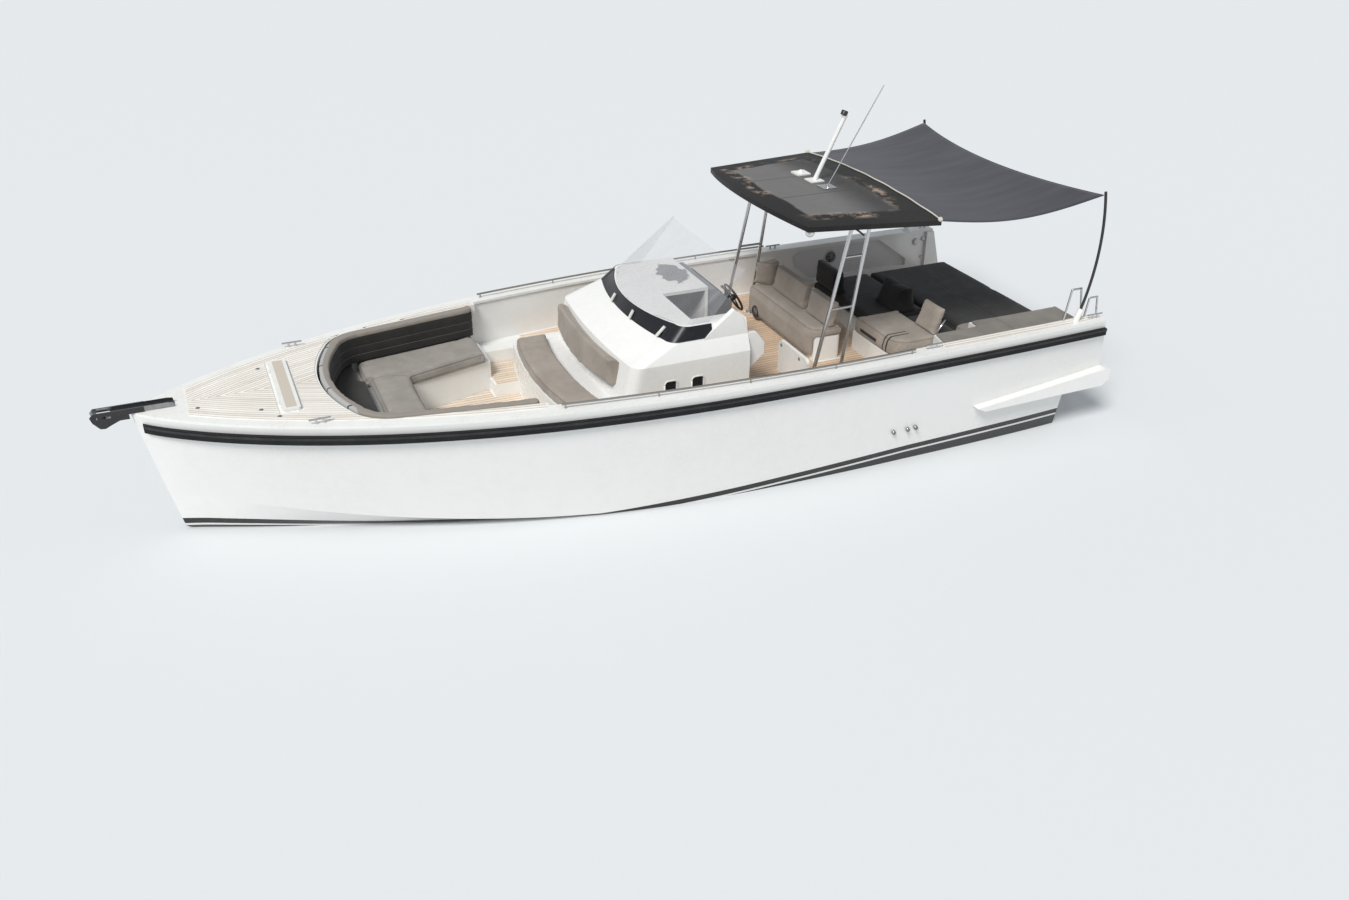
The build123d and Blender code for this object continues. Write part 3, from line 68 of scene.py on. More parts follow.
world = bpy.data.worlds.new("studio")
world.use_nodes = True
scene.world = world
world.node_tree.nodes["Background"].inputs["Color"].default_value = (0.90, 0.95, 1.0, 1)
world.node_tree.nodes["Background"].inputs["Strength"].default_value = 0.5


# ---- Studio floor
# A plain pale sweep laid at the waterline, so that the boat stands in it as deep as it floats. It is
# there for the picture alone and isn't part of the boat.
def add(tree, kind, props=None, **inputs):
    """Puts one node in a tree, sets its properties, and fills its inputs with values or links."""
    node = tree.nodes.new("ShaderNode" + kind)
    for key, value in (props or {}).items():
        setattr(node, key, value)
    for key, value in inputs.items():
        socket = node.inputs[int(key[1:])] if key[1:].isdigit() else node.inputs[key.replace("_", " ")]
        if isinstance(value, bpy.types.NodeSocket):
            tree.links.new(value, socket)
        else:
            socket.default_value = value
    return node


def finish(name, colour=(0.8, 0.8, 0.8), roughness=0.5, **inputs):
    """A material with a Principled shader, as (material, tree, shader, object coordinates)."""
    material = bpy.data.materials.new(name)
    material.use_nodes = True
    tree = material.node_tree
    shader = tree.nodes["Principled BSDF"]
    shader.inputs["Base Color"].default_value = (*colour, 1)
    shader.inputs["Roughness"].default_value = roughness
    for key, value in inputs.items():
        shader.inputs[key.replace("_", " ")].default_value = value
    place = tree.nodes.new("ShaderNodeTexCoord").outputs["Object"]
    return material, tree, shader, place


def grid(points, wrap=False):
    """Quads over a (rows, columns, 3) array of points, each row closed on itself where wrap is set."""
    rows, cols = points.shape[:2]
    i, j = np.meshgrid(np.arange(rows - 1), np.arange(cols if wrap else cols - 1), indexing="ij")
    across = (j + 1) % cols
    faces = np.stack([i * cols + j, (i + 1) * cols + j, (i + 1) * cols + across, i * cols + across], -1)
    return points.reshape(-1, 3), faces.reshape(-1, 4).tolist()


def mesh_piece(name, shapes, material, smooth=True):
    """One mesh object from a list of (points, faces) shapes, with one material."""
    points, faces, first = [], [], 0
    for some, quads in shapes:
        points += np.asarray(some, float).reshape(-1, 3).tolist()
        faces += [[first + corner for corner in face] for face in quads]
        first = len(points)
    mesh = bpy.data.meshes.new(name)
    mesh.from_pydata(points, [], faces)
    mesh.materials.append(material)
    mesh.shade_smooth() if smooth else mesh.shade_flat()
    piece = bpy.data.objects.new(name, mesh)
    scene.collection.objects.link(piece)
    return piece


REACH = 250
floor_paint = finish("floor_paint", (0.68, 0.70, 0.715), 0.9)[0]
sweep = [(-REACH, -REACH, 0), (REACH, -REACH, 0), (REACH, REACH, 0), (-REACH, REACH, 0)]
floor = mesh_piece("studio_floor", [(sweep, [[0, 1, 2, 3]])], floor_paint)


# ---- Hull
# A glass-fibre moulding in polished white gelcoat, with black antifouling below and a black boot
# stripe with a thin white line in it. The stripe is painted on, and rises towards both ends.
def group(name, sockets_in, sockets_out):
    """An empty node group with named sockets, as (group, tree inputs, tree output node)."""
    tree = bpy.data.node_groups.new(name, "ShaderNodeTree")
    for label, kind, value in sockets_in:
        socket = tree.interface.new_socket(label, in_out="INPUT", socket_type="NodeSocket" + kind)
        if value is not None:
            socket.default_value = value
    for label, kind in sockets_out:
        tree.interface.new_socket(label, in_out="OUTPUT", socket_type="NodeSocket" + kind)
    entry = tree.nodes.new("NodeGroupInput")
    leave = tree.nodes.new("NodeGroupOutput")
    return tree, entry.outputs, leave.inputs


def maths(tree, operation, *values):
    """The result of one sum on values or links."""
    return add(tree, "Math", {"operation": operation}, **{f"_{k}": v for k, v in enumerate(values)}).outputs[0]


def spread(tree, value, low, high, to_low=0, to_high=1, kind="LINEAR"):
    """A value carried from low..high to to_low..to_high, and held at the ends."""
    return add(tree, "MapRange", {"interpolation_type": kind}, Value=value, From_Min=low, From_Max=high,
               To_Min=to_low, To_Max=to_high).outputs[0]


def eased(tree, value, low, high, to_low=0, to_high=1):
    """The same with soft ends."""
    return spread(tree, value, low, high, to_low, to_high, "SMOOTHSTEP")


def noise(tree, vector, scale, detail, roughness=0.5, **inputs):
    """Cloudy noise, finer with each step of detail."""
    return add(tree, "TexNoise", None, Vector=vector, Scale=scale, Detail=detail, Roughness=roughness,
               **inputs).outputs["Fac"]


def blend(tree, share, under, over, kind="MIX"):
    """Two colours mixed by a share."""
    return add(tree, "Mix", {"data_type": "RGBA", "blend_type": kind}, _0=share, _6=under, _7=over).outputs[2]


# Weathering: broad cloudy variation, finer grime, and streaks that run down the sides
weather, entry, leave = group(
    "weather",
    [("Vector", "Vector", None), ("Clean", "Color", (0.8, 0.8, 0.8, 1)), ("Dirty", "Color", (0.6, 0.58, 0.52, 1)),
     ("Amount", "Float", 0.3), ("Scale", "Float", 1.0), ("Gloss", "Float", 0.2), ("Dull", "Float", 0.5)],
    [("Color", "Color"), ("Roughness", "Float"), ("Height", "Float")])
scaled = add(weather, "VectorMath", {"operation": "SCALE"}, _0=entry["Vector"], Scale=entry["Scale"]).outputs[0]
cloud = noise(weather, scaled, 2.2, 5.0, 0.6)
grime = noise(weather, scaled, 24.0, 6.0, 0.7)
stretched = add(weather, "Mapping", None, Vector=scaled, Scale=(14.0, 14.0, 0.8)).outputs[0]
streak = noise(weather, stretched, 1.0, 4.0)
both = maths(weather, "MULTIPLY", cloud, grime)
spots = spread(weather, both, 0.22, 0.42)
lines = spread(weather, streak, 0.52, 0.75)
worn = maths(weather, "MULTIPLY_ADD", lines, 0.35, spots)
share = add(weather, "Math", {"operation": "MULTIPLY", "use_clamp": True}, _0=worn,
            _1=entry["Amount"]).outputs[0]
tone = blend(weather, share, entry["Clean"], entry["Dirty"])
rough = spread(weather, spots, 0, 1, entry["Gloss"], entry["Dull"])
weather.links.new(tone, leave["Color"])
weather.links.new(rough, leave["Roughness"])
weather.links.new(grime, leave["Height"])


def coat(tree, shader, shared, relief, depth=0.002, **inputs):
    """Puts a shared group in a finish, and joins its colour, roughness and height to the shader."""
    out = add(tree, "Group", {"node_tree": shared}, **inputs).outputs
    tree.links.new(out["Color"], shader.inputs["Base Color"])
    tree.links.new(out["Roughness"], shader.inputs["Roughness"])
    if relief:
        bump = add(tree, "Bump", None, Height=out["Height"], Strength=relief, Distance=depth)
        tree.links.new(bump.outputs[0], shader.inputs["Normal"])


def weathered(name, clean, dirty, amount=0.3, scale=1.0, gloss=0.2, dull=0.4, bump=0.0, **inputs):
    """A weathered finish of one colour; bump gives the grime a little height."""
    material, tree, shader, place = finish(name, clean, gloss, **inputs)
    coat(tree, shader, weather, bump, Vector=place, Clean=(*clean, 1), Dirty=(*dirty, 1), Amount=amount,
         Scale=scale, Gloss=gloss, Dull=dull)
    return material, tree, shader, place


def paint(material, *names):
    """Gives CAD nodes one material."""
    for name in names:
        mesh = nodes[name].data
        mesh.materials.clear()
        mesh.materials.append(material)


WHITE, CREAM = (0.80, 0.80, 0.785), (0.62, 0.60, 0.54)
hull_paint, tree, shader, place = weathered("hull_gelcoat", WHITE, CREAM, 0.16, 0.35, 0.16, 0.3, Coat_Weight=0.3)
axes = add(tree, "SeparateXYZ", None, Vector=place).outputs
along = spread(tree, axes["X"], -5.4, 6.0)
curve = add(tree, "ValToRGB", None, Fac=along)
BOOT_TOP = ((0.0, 0.25), (0.26, 0.215), (0.41, 0.13), (0.54, 0.06), (0.65, 0.0), (0.80, 0.06),
            (0.94, 0.16), (1.0, 0.13))
curve.color_ramp.interpolation = "B_SPLINE"
for number, (spot, high) in enumerate(BOOT_TOP):
    stop = curve.color_ramp.elements[number] if number < 2 else curve.color_ramp.elements.new(spot)
    stop.position, stop.color = spot, (high, high, high, 1)
level = maths(tree, "SUBTRACT", axes["Z"], curve.outputs["Color"])
BOOT_BLACK, BOOT_LINE, BOOT_FOOT = -0.001, -0.072, -0.098
below = [maths(tree, "LESS_THAN", level, edge)
         for edge in (BOOT_BLACK, BOOT_LINE, BOOT_FOOT)]
tone = shader.inputs["Base Color"].links[0].from_socket
for mask, colour in zip(below, ((0.012, 0.012, 0.013, 1), (0.7, 0.7, 0.69, 1), (0.02, 0.022, 0.024, 1))):
    tone = blend(tree, mask, tone, colour)
tree.links.new(tone, shader.inputs["Base Color"])
paint(hull_paint, "hull", "topsides", "bulwarks", "bow_bulwarks")


def turned_shape(profile, centre, axis, sides=20):
    """A round shape: each (radius, height) row of the profile, from its top down, carried round the axis."""
    axis = np.array(axis, float) / np.linalg.norm(axis)
    side = np.cross(axis, (0.0, 0.0, 1.0) if abs(axis[2]) < 0.9 else (0.0, 1.0, 0.0))
    side /= np.linalg.norm(side)
    turn = np.linspace(0, 2 * np.pi, sides, endpoint=False)[None, :, None]
    ring = np.cos(turn) * side + np.sin(turn) * np.cross(axis, side)
    profile = np.array(profile, float)
    return grid(np.array(centre) + profile[:, :1, None] * ring + profile[:, 1:, None] * axis, True)


def plate(outline, depth):
    """A flat plate: its outline, counterclockwise seen from outside, and the same outline moved by depth."""
    outline = np.array(outline, float)
    count = len(outline)
    here = np.arange(count)
    there = (here + 1) % count
    sides = np.stack([here, here + count, there + count, there], -1).tolist()
    ends = [list(range(count)), list(range(2 * count - 1, count - 1, -1))]
    return np.concatenate([outline, outline + depth]), ends + sides


HALF_BEAM, WIDEST, STEM, STERN = 1.971, -2.486, 5.998, -5.07
STERN_DRAW, FULLNESS, ROUNDNESS = 0.035, 2.879, 0.822


def half_beam(x):
    """Half the beam at the sheer: with u the way from the widest place to the stem, HALF_BEAM
    (1 - u**FULLNESS)**ROUNDNESS; aft of it, drawn in by STERN_DRAW times the square of the way aft."""
    x = np.asarray(x, float)
    fore = np.clip((x - WIDEST) / (STEM - WIDEST), 0, 1)
    aft = np.clip((WIDEST - x) / (WIDEST - STERN), 0, None)
    return np.where(x < WIDEST, HALF_BEAM - STERN_DRAW * aft**2, HALF_BEAM * (1 - fore**FULLNESS) ** ROUNDNESS)


def fitted(name, shapes, material, smooth=True):
    """A mesh piece fixed to the boat."""
    piece = mesh_piece(name, shapes, material, smooth)
    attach(piece, "boat")
    return piece


# Three through-hull fittings low on the port side, and in the recess a grey sheet of painted shade
# with a loudspeaker on it
dull_metal = weathered("fitting_metal", (0.30, 0.30, 0.31), (0.12, 0.12, 0.12), 0.4, 9.0, 0.3, 0.5,
                       Metallic=0.8)[0]
VENTS = ((-2.168, 0.465), (-2.366, 0.464), (-2.479, 0.468))
HULL_LEAN, SHEER = 0.122, 1.47
lip = [(0, 0.006), (0.012, 0.006), (0.014, 0.012), (0.024, 0.010), (0.027, -0.02)]
fitted("hull_vents", [turned_shape(lip, (x, float(half_beam(x)) - HULL_LEAN * (SHEER - z), z), (0, 1, -0.12))
                      for x, z in VENTS], dull_metal)
# The recess's grey is painted shade on the white bulwark.
recess_shade_grey = weathered("recess_shade_grey", (0.62, 0.62, 0.64), (0.68, 0.68, 0.68), 0.4, 1.5, 0.5, 0.7, 0.15)[0]
RECESS_SIDE = -1.8285
RECESS_SHADE_OUTLINE = ((-2.74, 1.345), (-2.86, 1.425), (-4.14, 1.425), (-4.62, 1.07), (-4.645, 0.99), (-3.06, 0.99),
          (-2.79, 1.195))
fitted("recess_shade_sheet", [plate([(x, RECESS_SIDE, z) for x, z in RECESS_SHADE_OUTLINE], (0, -0.002, 0))], recess_shade_grey,
       False)


def speaker(name, centre, axis, size, ring_paint):
    """A loudspeaker: a rounded ring round a dark dished grille."""
    ring = ((0.78, 0.004), (0.80, 0.012), (0.92, 0.014), (1, 0.006), (1, -0.002))
    dish = ((0, 0.012), (0.25, 0.011), (0.30, 0.004), (0.78, 0.005), (0.8, -0.002))
    for ending, profile, look in (("_ring", ring, ring_paint), ("_grille", dish, speaker_mesh)):
        shape = turned_shape([(out * size, high) for out, high in profile], centre, axis, 32)
        fitted(name + ending, [shape], look)


speaker_mesh, tree, shader, place = finish("speaker_mesh", (0.02, 0.02, 0.02), 0.5)
cells = add(tree, "TexVoronoi", None, Vector=place, Scale=28.0).outputs["Distance"]
tree.links.new(spread(tree, cells, 0.2, 0.5, 0.01, 0.16), shader.inputs["Base Color"])
pale_ring = weathered("pale_ring", (0.5, 0.5, 0.5), (0.3, 0.3, 0.3), 0.3)[0]
speaker("recess_speaker", (-3.374, RECESS_SIDE, 1.262), (0, 1, 0), 0.105, pale_ring)

# ---- Deck and the other white mouldings
# Glass fibre with a gelcoat surface, duller than the hull from feet and sun: the deck, the seats'
# bases, the lounge's lid and the dome. Small plugs, caps and latches are let in flush.
deck_paint = weathered("deck_gelcoat", (0.80, 0.80, 0.78), (0.55, 0.52, 0.46), 0.3, 1.2, 0.28, 0.5, 0.03)[0]
paint(deck_paint, "deck", "side_decks", "helm_bench", "port_seat", "sofa_base", "lounge_lid", "side_board",
      "quarter_locker", "pole_sockets", "roof_dome")

# White plugs and small sockets on the starboard bulwark, beside the sun lounge
plug_white = weathered("plug_white", (0.72, 0.72, 0.71), (0.4, 0.4, 0.4), 0.3, 6.0)[0]
BULWARK_FACE = -1.752
fitted("deck_plugs", [turned_shape([(0, 0.012), (0.7 * size, 0.012), (size, 0.004), (size, -0.01)],
                                   (x, BULWARK_FACE, z), (0, 1, 0))
                      for x, z, size in ((-4.80, 1.33, 0.05), (-4.92, 1.36, 0.03), (-4.92, 1.08, 0.02))],
       plug_white)
# Four small caps flush with the foredeck
DECK_TOP = 1.506
fitted("deck_caps", [turned_shape([(0, 0.005), (0.020, 0.005), (0.026, 0.001), (0.026, -0.005)],
                                  (x, y, DECK_TOP), (0, 0, 1))
                     for x, y in ((5.358, 0.205), (4.763, 0.496), (4.685, -0.53), (4.606, 0.713))],
       dull_metal)
# Two flush black latches on the upright board
fitted("board_latches", [turned_shape([(0, 0.006), (0.016, 0.006), (0.022, 0.002), (0.022, -0.004)],
                                      (-1.25, y, 1.261), (1, 0, 0))
                         for y in (0.629, 1.065)], dull_metal)

# ---- Teak
# Bleached teak planks with fine black seams: parallel to the gunwale on the foredeck, and along
# the boat on the soles. The grain runs with the planks. A narrow teak capping lies on the port quarter.
plank, entry, leave = group(
    "teak_planks",
    [("Across", "Float", 0.0), ("Along", "Float", 0.0), ("Height", "Float", 0.0), ("Pitch", "Float", 0.055),
     ("Seam", "Float", 0.005), ("Tint", "Color", (1, 1, 1, 1))],
    [("Color", "Color"), ("Roughness", "Float"), ("Height", "Float")])
count = maths(plank, "DIVIDE", entry["Across"], entry["Pitch"])
whole = maths(plank, "FLOOR", count)
part = maths(plank, "FRACT", count)
edge = maths(plank, "PINGPONG", part, 0.5)
gap = maths(plank, "MULTIPLY", edge, entry["Pitch"])
half_seam = maths(plank, "MULTIPLY", entry["Seam"], 0.5)
seam = maths(plank, "LESS_THAN", gap, half_seam)
grain_at = add(plank, "CombineXYZ", None, X=entry["Along"], Y=entry["Across"], Z=entry["Height"]).outputs[0]
shifted = add(plank, "CombineXYZ", None, X=maths(plank, "MULTIPLY", whole, 3.71), Z=whole).outputs[0]
grain_at = add(plank, "VectorMath", {"operation": "ADD"}, _0=grain_at, _1=shifted).outputs[0]
grain_at = add(plank, "Mapping", None, Vector=grain_at, Scale=(5.0, 130.0, 20.0)).outputs[0]
grain = noise(plank, grain_at, 1.0, 5.0, 0.65)
each = add(plank, "TexWhiteNoise", {"noise_dimensions": "1D"}, W=whole).outputs["Value"]
worn_at = add(plank, "CombineXYZ", None, X=entry["Along"], Y=entry["Across"]).outputs[0]
worn = noise(plank, worn_at, 1.6, 3.0)
mixed = maths(plank, "MULTIPLY_ADD", grain, 0.65, maths(plank, "MULTIPLY", each, 0.2))
mixed = maths(plank, "MULTIPLY_ADD", worn, 0.35, mixed)
wood = add(plank, "ValToRGB", None, Fac=mixed)
for stop, (spot, colour) in zip(
        (wood.color_ramp.elements[0], wood.color_ramp.elements[1], wood.color_ramp.elements.new(0.6)),
        ((0.3, (0.60, 0.57, 0.52, 1)), (0.85, (0.88, 0.87, 0.84, 1)), (0.6, (0.78, 0.755, 0.71, 1)))):
    stop.position, stop.color = spot, colour
tone = blend(plank, 1.0, wood.outputs["Color"], entry["Tint"], "MULTIPLY")
tone = blend(plank, seam, tone, (0.07, 0.065, 0.06, 1))
plank.links.new(tone, leave["Color"])
plank.links.new(spread(plank, grain, 0, 1, 0.55, 0.8), leave["Roughness"])
plank.links.new(maths(plank, "MULTIPLY_ADD", seam, -0.6, grain), leave["Height"])
PLANK_RELIEF = 0.35

sole_teak, tree, shader, place = finish("sole_teak")
axes = add(tree, "SeparateXYZ", None, Vector=place).outputs
# The sole is painted paler towards the bow than in the cockpit
fore = spread(tree, axes["X"], 0.5, 2.2)
paler_forward = blend(tree, fore, (0.86, 0.66, 0.50, 1), (0.93, 0.82, 0.70, 1))
coat(tree, shader, plank, PLANK_RELIEF, Across=axes["Y"], Along=axes["X"], Height=axes["Z"], Pitch=0.058,
     Seam=0.006, Tint=paler_forward)
paint(sole_teak, "teak_soles")

foredeck_wood, tree, shader, place = finish("foredeck_teak")
axes = add(tree, "SeparateXYZ", None, Vector=place).outputs
# The same curve as half_beam, so that the planks keep the gunwale's line
run = spread(tree, axes["X"], WIDEST, STEM)
left = maths(tree, "SUBTRACT", 1.0, maths(tree, "POWER", run, FULLNESS))
half = maths(tree, "MULTIPLY", maths(tree, "POWER", left, ROUNDNESS), HALF_BEAM)
side = maths(tree, "ABSOLUTE", axes["Y"])
inward = maths(tree, "SUBTRACT", half, side)
coat(tree, shader, plank, PLANK_RELIEF, Across=inward, Along=axes["X"], Height=axes["Z"], Pitch=0.05,
     Seam=0.005, Tint=(1.0, 0.98, 0.95, 1))
paint(foredeck_wood, "foredeck_teak")


def sheer_band(x0, x1, out, inner, z, thick, count=40):
    """A thin flat band on the port deck whose two edges keep their distance from the gunwale's edge."""
    x = np.linspace(x0, x1, count)
    half = half_beam(x)
    ring = [(half - out, z), (half - out, z - thick), (half - inner, z - thick), (half - inner, z)]
    points = np.stack([np.stack([x, y, np.full(count, height)], -1) for y, height in ring], 1)
    shape, faces = grid(points, True)
    last = 4 * (count - 1)
    return shape, faces + [[0, 1, 2, 3], [last + 3, last + 2, last + 1, last]]


# A teak capping inboard on the port gunwale, beside the padded locker
fitted("quarter_teak", [sheer_band(-4.92, -2.72, 0.062, 0.188, DECK_TOP, 0.006)], foredeck_wood, False)

# ---- Rub rail
# A black rubber fender fixed along the topsides under the gunwale, with a paler worn crown, and its
# thin strip of dark metal.
paint(weathered("rub_rubber", (0.010, 0.011, 0.012), (0.04, 0.04, 0.04), 0.4, 3.0, 0.6, 0.8, 0.1,
                Specular_IOR_Level=0.2)[0], "rub_rail")
paint(weathered("strip_metal", (0.020, 0.021, 0.022), (0.07, 0.07, 0.07), 0.5, 2.0, 0.45, 0.6,
                Specular_IOR_Level=0.3)[0], "rub_strip")

# ---- Foredeck lid
# A hinged moulding over the rope locker, in the deck's white gelcoat. The beige inlay along its
# middle is painted on.
def mask_between(tree, value, low, high, soft):
    """1 where value lies between low and high, with edges as wide as soft."""
    return maths(tree, "MULTIPLY", eased(tree, value, low - soft, low + soft),
                 eased(tree, value, high - soft, high + soft, 1, 0))


def tinted(tree, shader, mask, colour):
    """Mixes a colour over what the shader shows now, by a mask."""
    now = shader.inputs["Base Color"].links[0].from_socket
    tree.links.new(blend(tree, mask, now, (*colour, 1)), shader.inputs["Base Color"])


lid_paint, tree, shader, place = weathered("lid_gelcoat", (0.78, 0.78, 0.76), (0.5, 0.47, 0.42), 0.3, 3.0,
                                           0.3, 0.5)
axes = add(tree, "SeparateXYZ", None, Vector=place).outputs
inlay = maths(tree, "MULTIPLY", mask_between(tree, axes["X"], 4.415, 4.525, 0.002),
              mask_between(tree, axes["Y"], -0.60, 0.60, 0.002))
tinted(tree, shader, inlay, (0.56, 0.50, 0.42))
paint(lid_paint, "foredeck_lid")

# ---- Console mouldings
# The same gelcoat with a ragged dark grey patch painted on its top, pale frames round the two windows
# a side, and three short white bars on the band of glass.
console_paint, tree, shader, place = weathered("console_gelcoat", WHITE, (0.55, 0.52, 0.46), 0.2, 1.0, 0.24,
                                               0.45, 0.02)
patch_at = add(tree, "Mapping", None, Vector=place, Location=(1.32, 1.45, -19.1),
               Scale=(4.4, 2.7, 10.0)).outputs[0]
reach = add(tree, "VectorMath", {"operation": "LENGTH"}, _0=patch_at).outputs[1]
ragged = noise(tree, place, 9.0, 4.0, 0.6)
level = maths(tree, "MULTIPLY_ADD", ragged, -1.1, reach)
tinted(tree, shader, eased(tree, level, 0.22, 0.30, 0.85, 0.0), (0.16, 0.165, 0.17))
paint(console_paint, "console")


def rounded_loop(wide, high, round_, count=10):
    """A rounded rectangle's outline about the origin, counterclockwise, with its corners as quarter circles."""
    turn = np.linspace(0, np.pi / 2, count)
    corners = []
    for quarter, (sx, sy) in enumerate(((1, 1), (-1, 1), (-1, -1), (1, -1))):
        angle = turn + quarter * np.pi / 2
        corners.append(np.stack([sx * (wide / 2 - round_) + round_ * np.cos(angle),
                                 sy * (high / 2 - round_) + round_ * np.sin(angle)], -1))
    return np.concatenate(corners)


def tube(path, radius, up=(0, 0, 1), sides=10):
    """A closed round tube: a circle set square to the path at each of its points."""
    path = np.array(path, float)
    ahead = np.gradient(path, axis=0)
    side = np.cross(ahead, up)
    side /= np.linalg.norm(side, axis=1)[:, None]
    top = np.cross(side, ahead)
    top /= np.linalg.norm(top, axis=1)[:, None]
    turn = np.linspace(0, 2 * np.pi, sides, endpoint=False)[None, :, None]
    ring = np.cos(turn) * side[:, None] + np.sin(turn) * top[:, None]
    points, faces = grid(path[:, None] + radius * ring, True)
    last = (len(path) - 1) * sides
    return points, faces + [list(range(sides)), list(range(last + sides - 1, last - 1, -1))]


CONSOLE_SIDE, WINDOW_MIDDLE = 1.201, 1.225
frames = []
for x in (0.466, 0.132):
    for side in (CONSOLE_SIDE, -CONSOLE_SIDE):
        loop = rounded_loop(0.155, 0.26, 0.045)
        loop = np.concatenate([loop, loop[:1]])
        path = np.stack([x + loop[:, 0], np.full(len(loop), side), WINDOW_MIDDLE + loop[:, 1]], -1)
        frames.append(tube(path, 0.009, (0, 1, 0), 8))
frame_white = weathered("frame_white", (0.7, 0.69, 0.66), (0.45, 0.42, 0.36), 0.3, 5.0, 0.3, 0.5)[0]
fitted("window_frames", frames, frame_white)
# Three short white bars laid on the band of glass as thin plates.
white_bars = []
for y in (-0.27, 0.29, 0.86):
    # The curved band of glass starts at foot and ends at head, and the bar covers most of its height
    foot = np.array([0.620 - 0.135 * (y / 0.97) ** 2, y * 1.03, 1.785])
    head = np.array([0.565 - 0.21 * (y / 0.92) ** 2, y * 0.995, 1.885])
    bar = (foot, foot + 0.85 * (head - foot))
    corners = [(bar[0], -0.020), (bar[0], 0.020), (bar[1], 0.020), (bar[1], -0.020)]
    white_bars.append(plate([end + (0.006, half, 0.004) for end, half in corners], (-0.014, 0, -0.008)))
fitted("band_white_bars", white_bars, frame_white, False)

# ---- Glass
# Dark bonded glass round the console's brow, dark panes in the cabin's sides, and a thin windscreen of
# smoke-grey plastic with a faint film on it.
paint(weathered("band_glass", (0.012, 0.013, 0.016), (0.04, 0.04, 0.045), 0.3, 2.0, 0.3, 0.42,
                Specular_IOR_Level=0.3)[0], "glazing_band", "cabin_windows")
screen_glass, tree, shader, place = finish("screen_glass", (0.50, 0.51, 0.54), 0.16, Specular_IOR_Level=0.12)
film_at = add(tree, "Mapping", None, Vector=place, Scale=(1.0, 1.6, 0.5)).outputs[0]
film = noise(tree, film_at, 2.0, 4.0)
tree.links.new(spread(tree, film, 0.3, 0.7, 0.08, 0.14), shader.inputs["Alpha"])
paint(screen_glass, "windscreen")

# ---- Helm
# A dash of grey textured plastic with a black wheel, two dark displays and a twin throttle. The
# wheel's metal hub turns with it, and a loudspeaker is let into the bench behind.
paint(weathered("dash_plastic", (0.20, 0.21, 0.225), (0.32, 0.32, 0.32), 0.4, 8.0, 0.4, 0.6, 0.2)[0], "dash")
black_plastic = weathered("black_plastic", (0.02, 0.02, 0.021), (0.07, 0.07, 0.07), 0.3, 9.0, 0.35, 0.55,
                          0.15)[0]
paint(black_plastic, "steering_wheel")

# The displays have raised bezels and lie on the dash's slope; slope runs down it and square stands on it
slope = np.array([-0.74, 0, -0.673])
square = np.array([-0.673, 0, 0.74])
screen_dark = weathered("display_glass", (0.010, 0.012, 0.020), (0.03, 0.035, 0.05), 0.3, 6.0, 0.06, 0.15,
                        Coat_Weight=1.0)[0]
bezels, panes = [], []
for y in (-0.66, -0.31):
    middle = np.array([-0.75, y, 1.76]) + 0.004 * square
    loop = rounded_loop(0.30, 0.20, 0.02, 6)
    ring = middle - loop[:, :1] * np.array([0, 1, 0]) - loop[:, 1:] * slope
    bezels.append(plate(ring + 0.006 * square, -0.014 * square))
    panes.append(plate(middle + 0.93 * (ring - middle) + 0.009 * square, -0.006 * square))
fitted("display_bezels", bezels, black_plastic, False)
fitted("display_panes", panes, screen_dark, False)
levers = []
for y in (-0.075, -0.035):
    path = np.array([(-0.80, y, 1.69), (-0.815, y, 1.74), (-0.80, y, 1.80), (-0.77, y, 1.83)])
    knob = turned_shape([(0, 0.016), (0.016, 0.01), (0.018, -0.01), (0, -0.018)], path[-1], (0, 1, 0), 12)
    levers += [tube(path, 0.008, (0, 1, 0), 8), knob]
mount = [(0, 0.05), (0.035, 0.045), (0.055, 0.0), (0.06, -0.03)]
levers.append(turned_shape(mount, (-0.80, -0.055, 1.69), square))
fitted("throttle", levers, black_plastic)
WHEEL_MIDDLE, WHEEL_AXIS = np.array([-1.010, -0.230, 1.600]), np.array([-0.883, 0, 0.469])
hub = turned_shape([(0, 0.022), (0.016, 0.021), (0.034, 0.012), (0.036, 0.0)],
                   WHEEL_MIDDLE + 0.008 * WHEEL_AXIS, WHEEL_AXIS, 24)
wheel_hub = mesh_piece("wheel_hub", [hub], dull_metal)
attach(wheel_hub, "wheel")
speaker("bench_speaker", (-1.6655, -0.848, 1.06), (1, 0, 0), 0.085, black_plastic)

# ---- Stainless fittings
# Polished stainless tube and plate with faint brushing. The handrails and the bow roller's frame are
# duller from salt, and the roller itself and its cheeks are black plastic.
steel, tree, shader, place = finish("stainless", (0.62, 0.62, 0.63), 0.2, Metallic=1.0)
brushed = add(tree, "Mapping", None, Vector=place, Scale=(40.0, 40.0, 400.0)).outputs[0]
lines = noise(tree, brushed, 1.0, 3.0)
tree.links.new(spread(tree, lines, 0, 1, 0.14, 0.34), shader.inputs["Roughness"])
tone = blend(tree, lines, (0.52, 0.52, 0.53, 1), (0.72, 0.72, 0.72, 1))
tree.links.new(tone, shader.inputs["Base Color"])
paint(steel, "roof_legs", "cleats", "stern_hoops", "aerial")
paint(weathered("rail_steel", (0.42, 0.40, 0.37), (0.25, 0.23, 0.20), 0.4, 6.0, 0.3, 0.5, Metallic=1.0)[0],
      "handrails")
paint(weathered("roller_steel", (0.36, 0.36, 0.37), (0.10, 0.10, 0.10), 0.4, 9.0, 0.14, 0.3, Metallic=1.0)[0],
      "bow_roller")
paint(black_plastic, "roller_drum", "roller_cheeks")

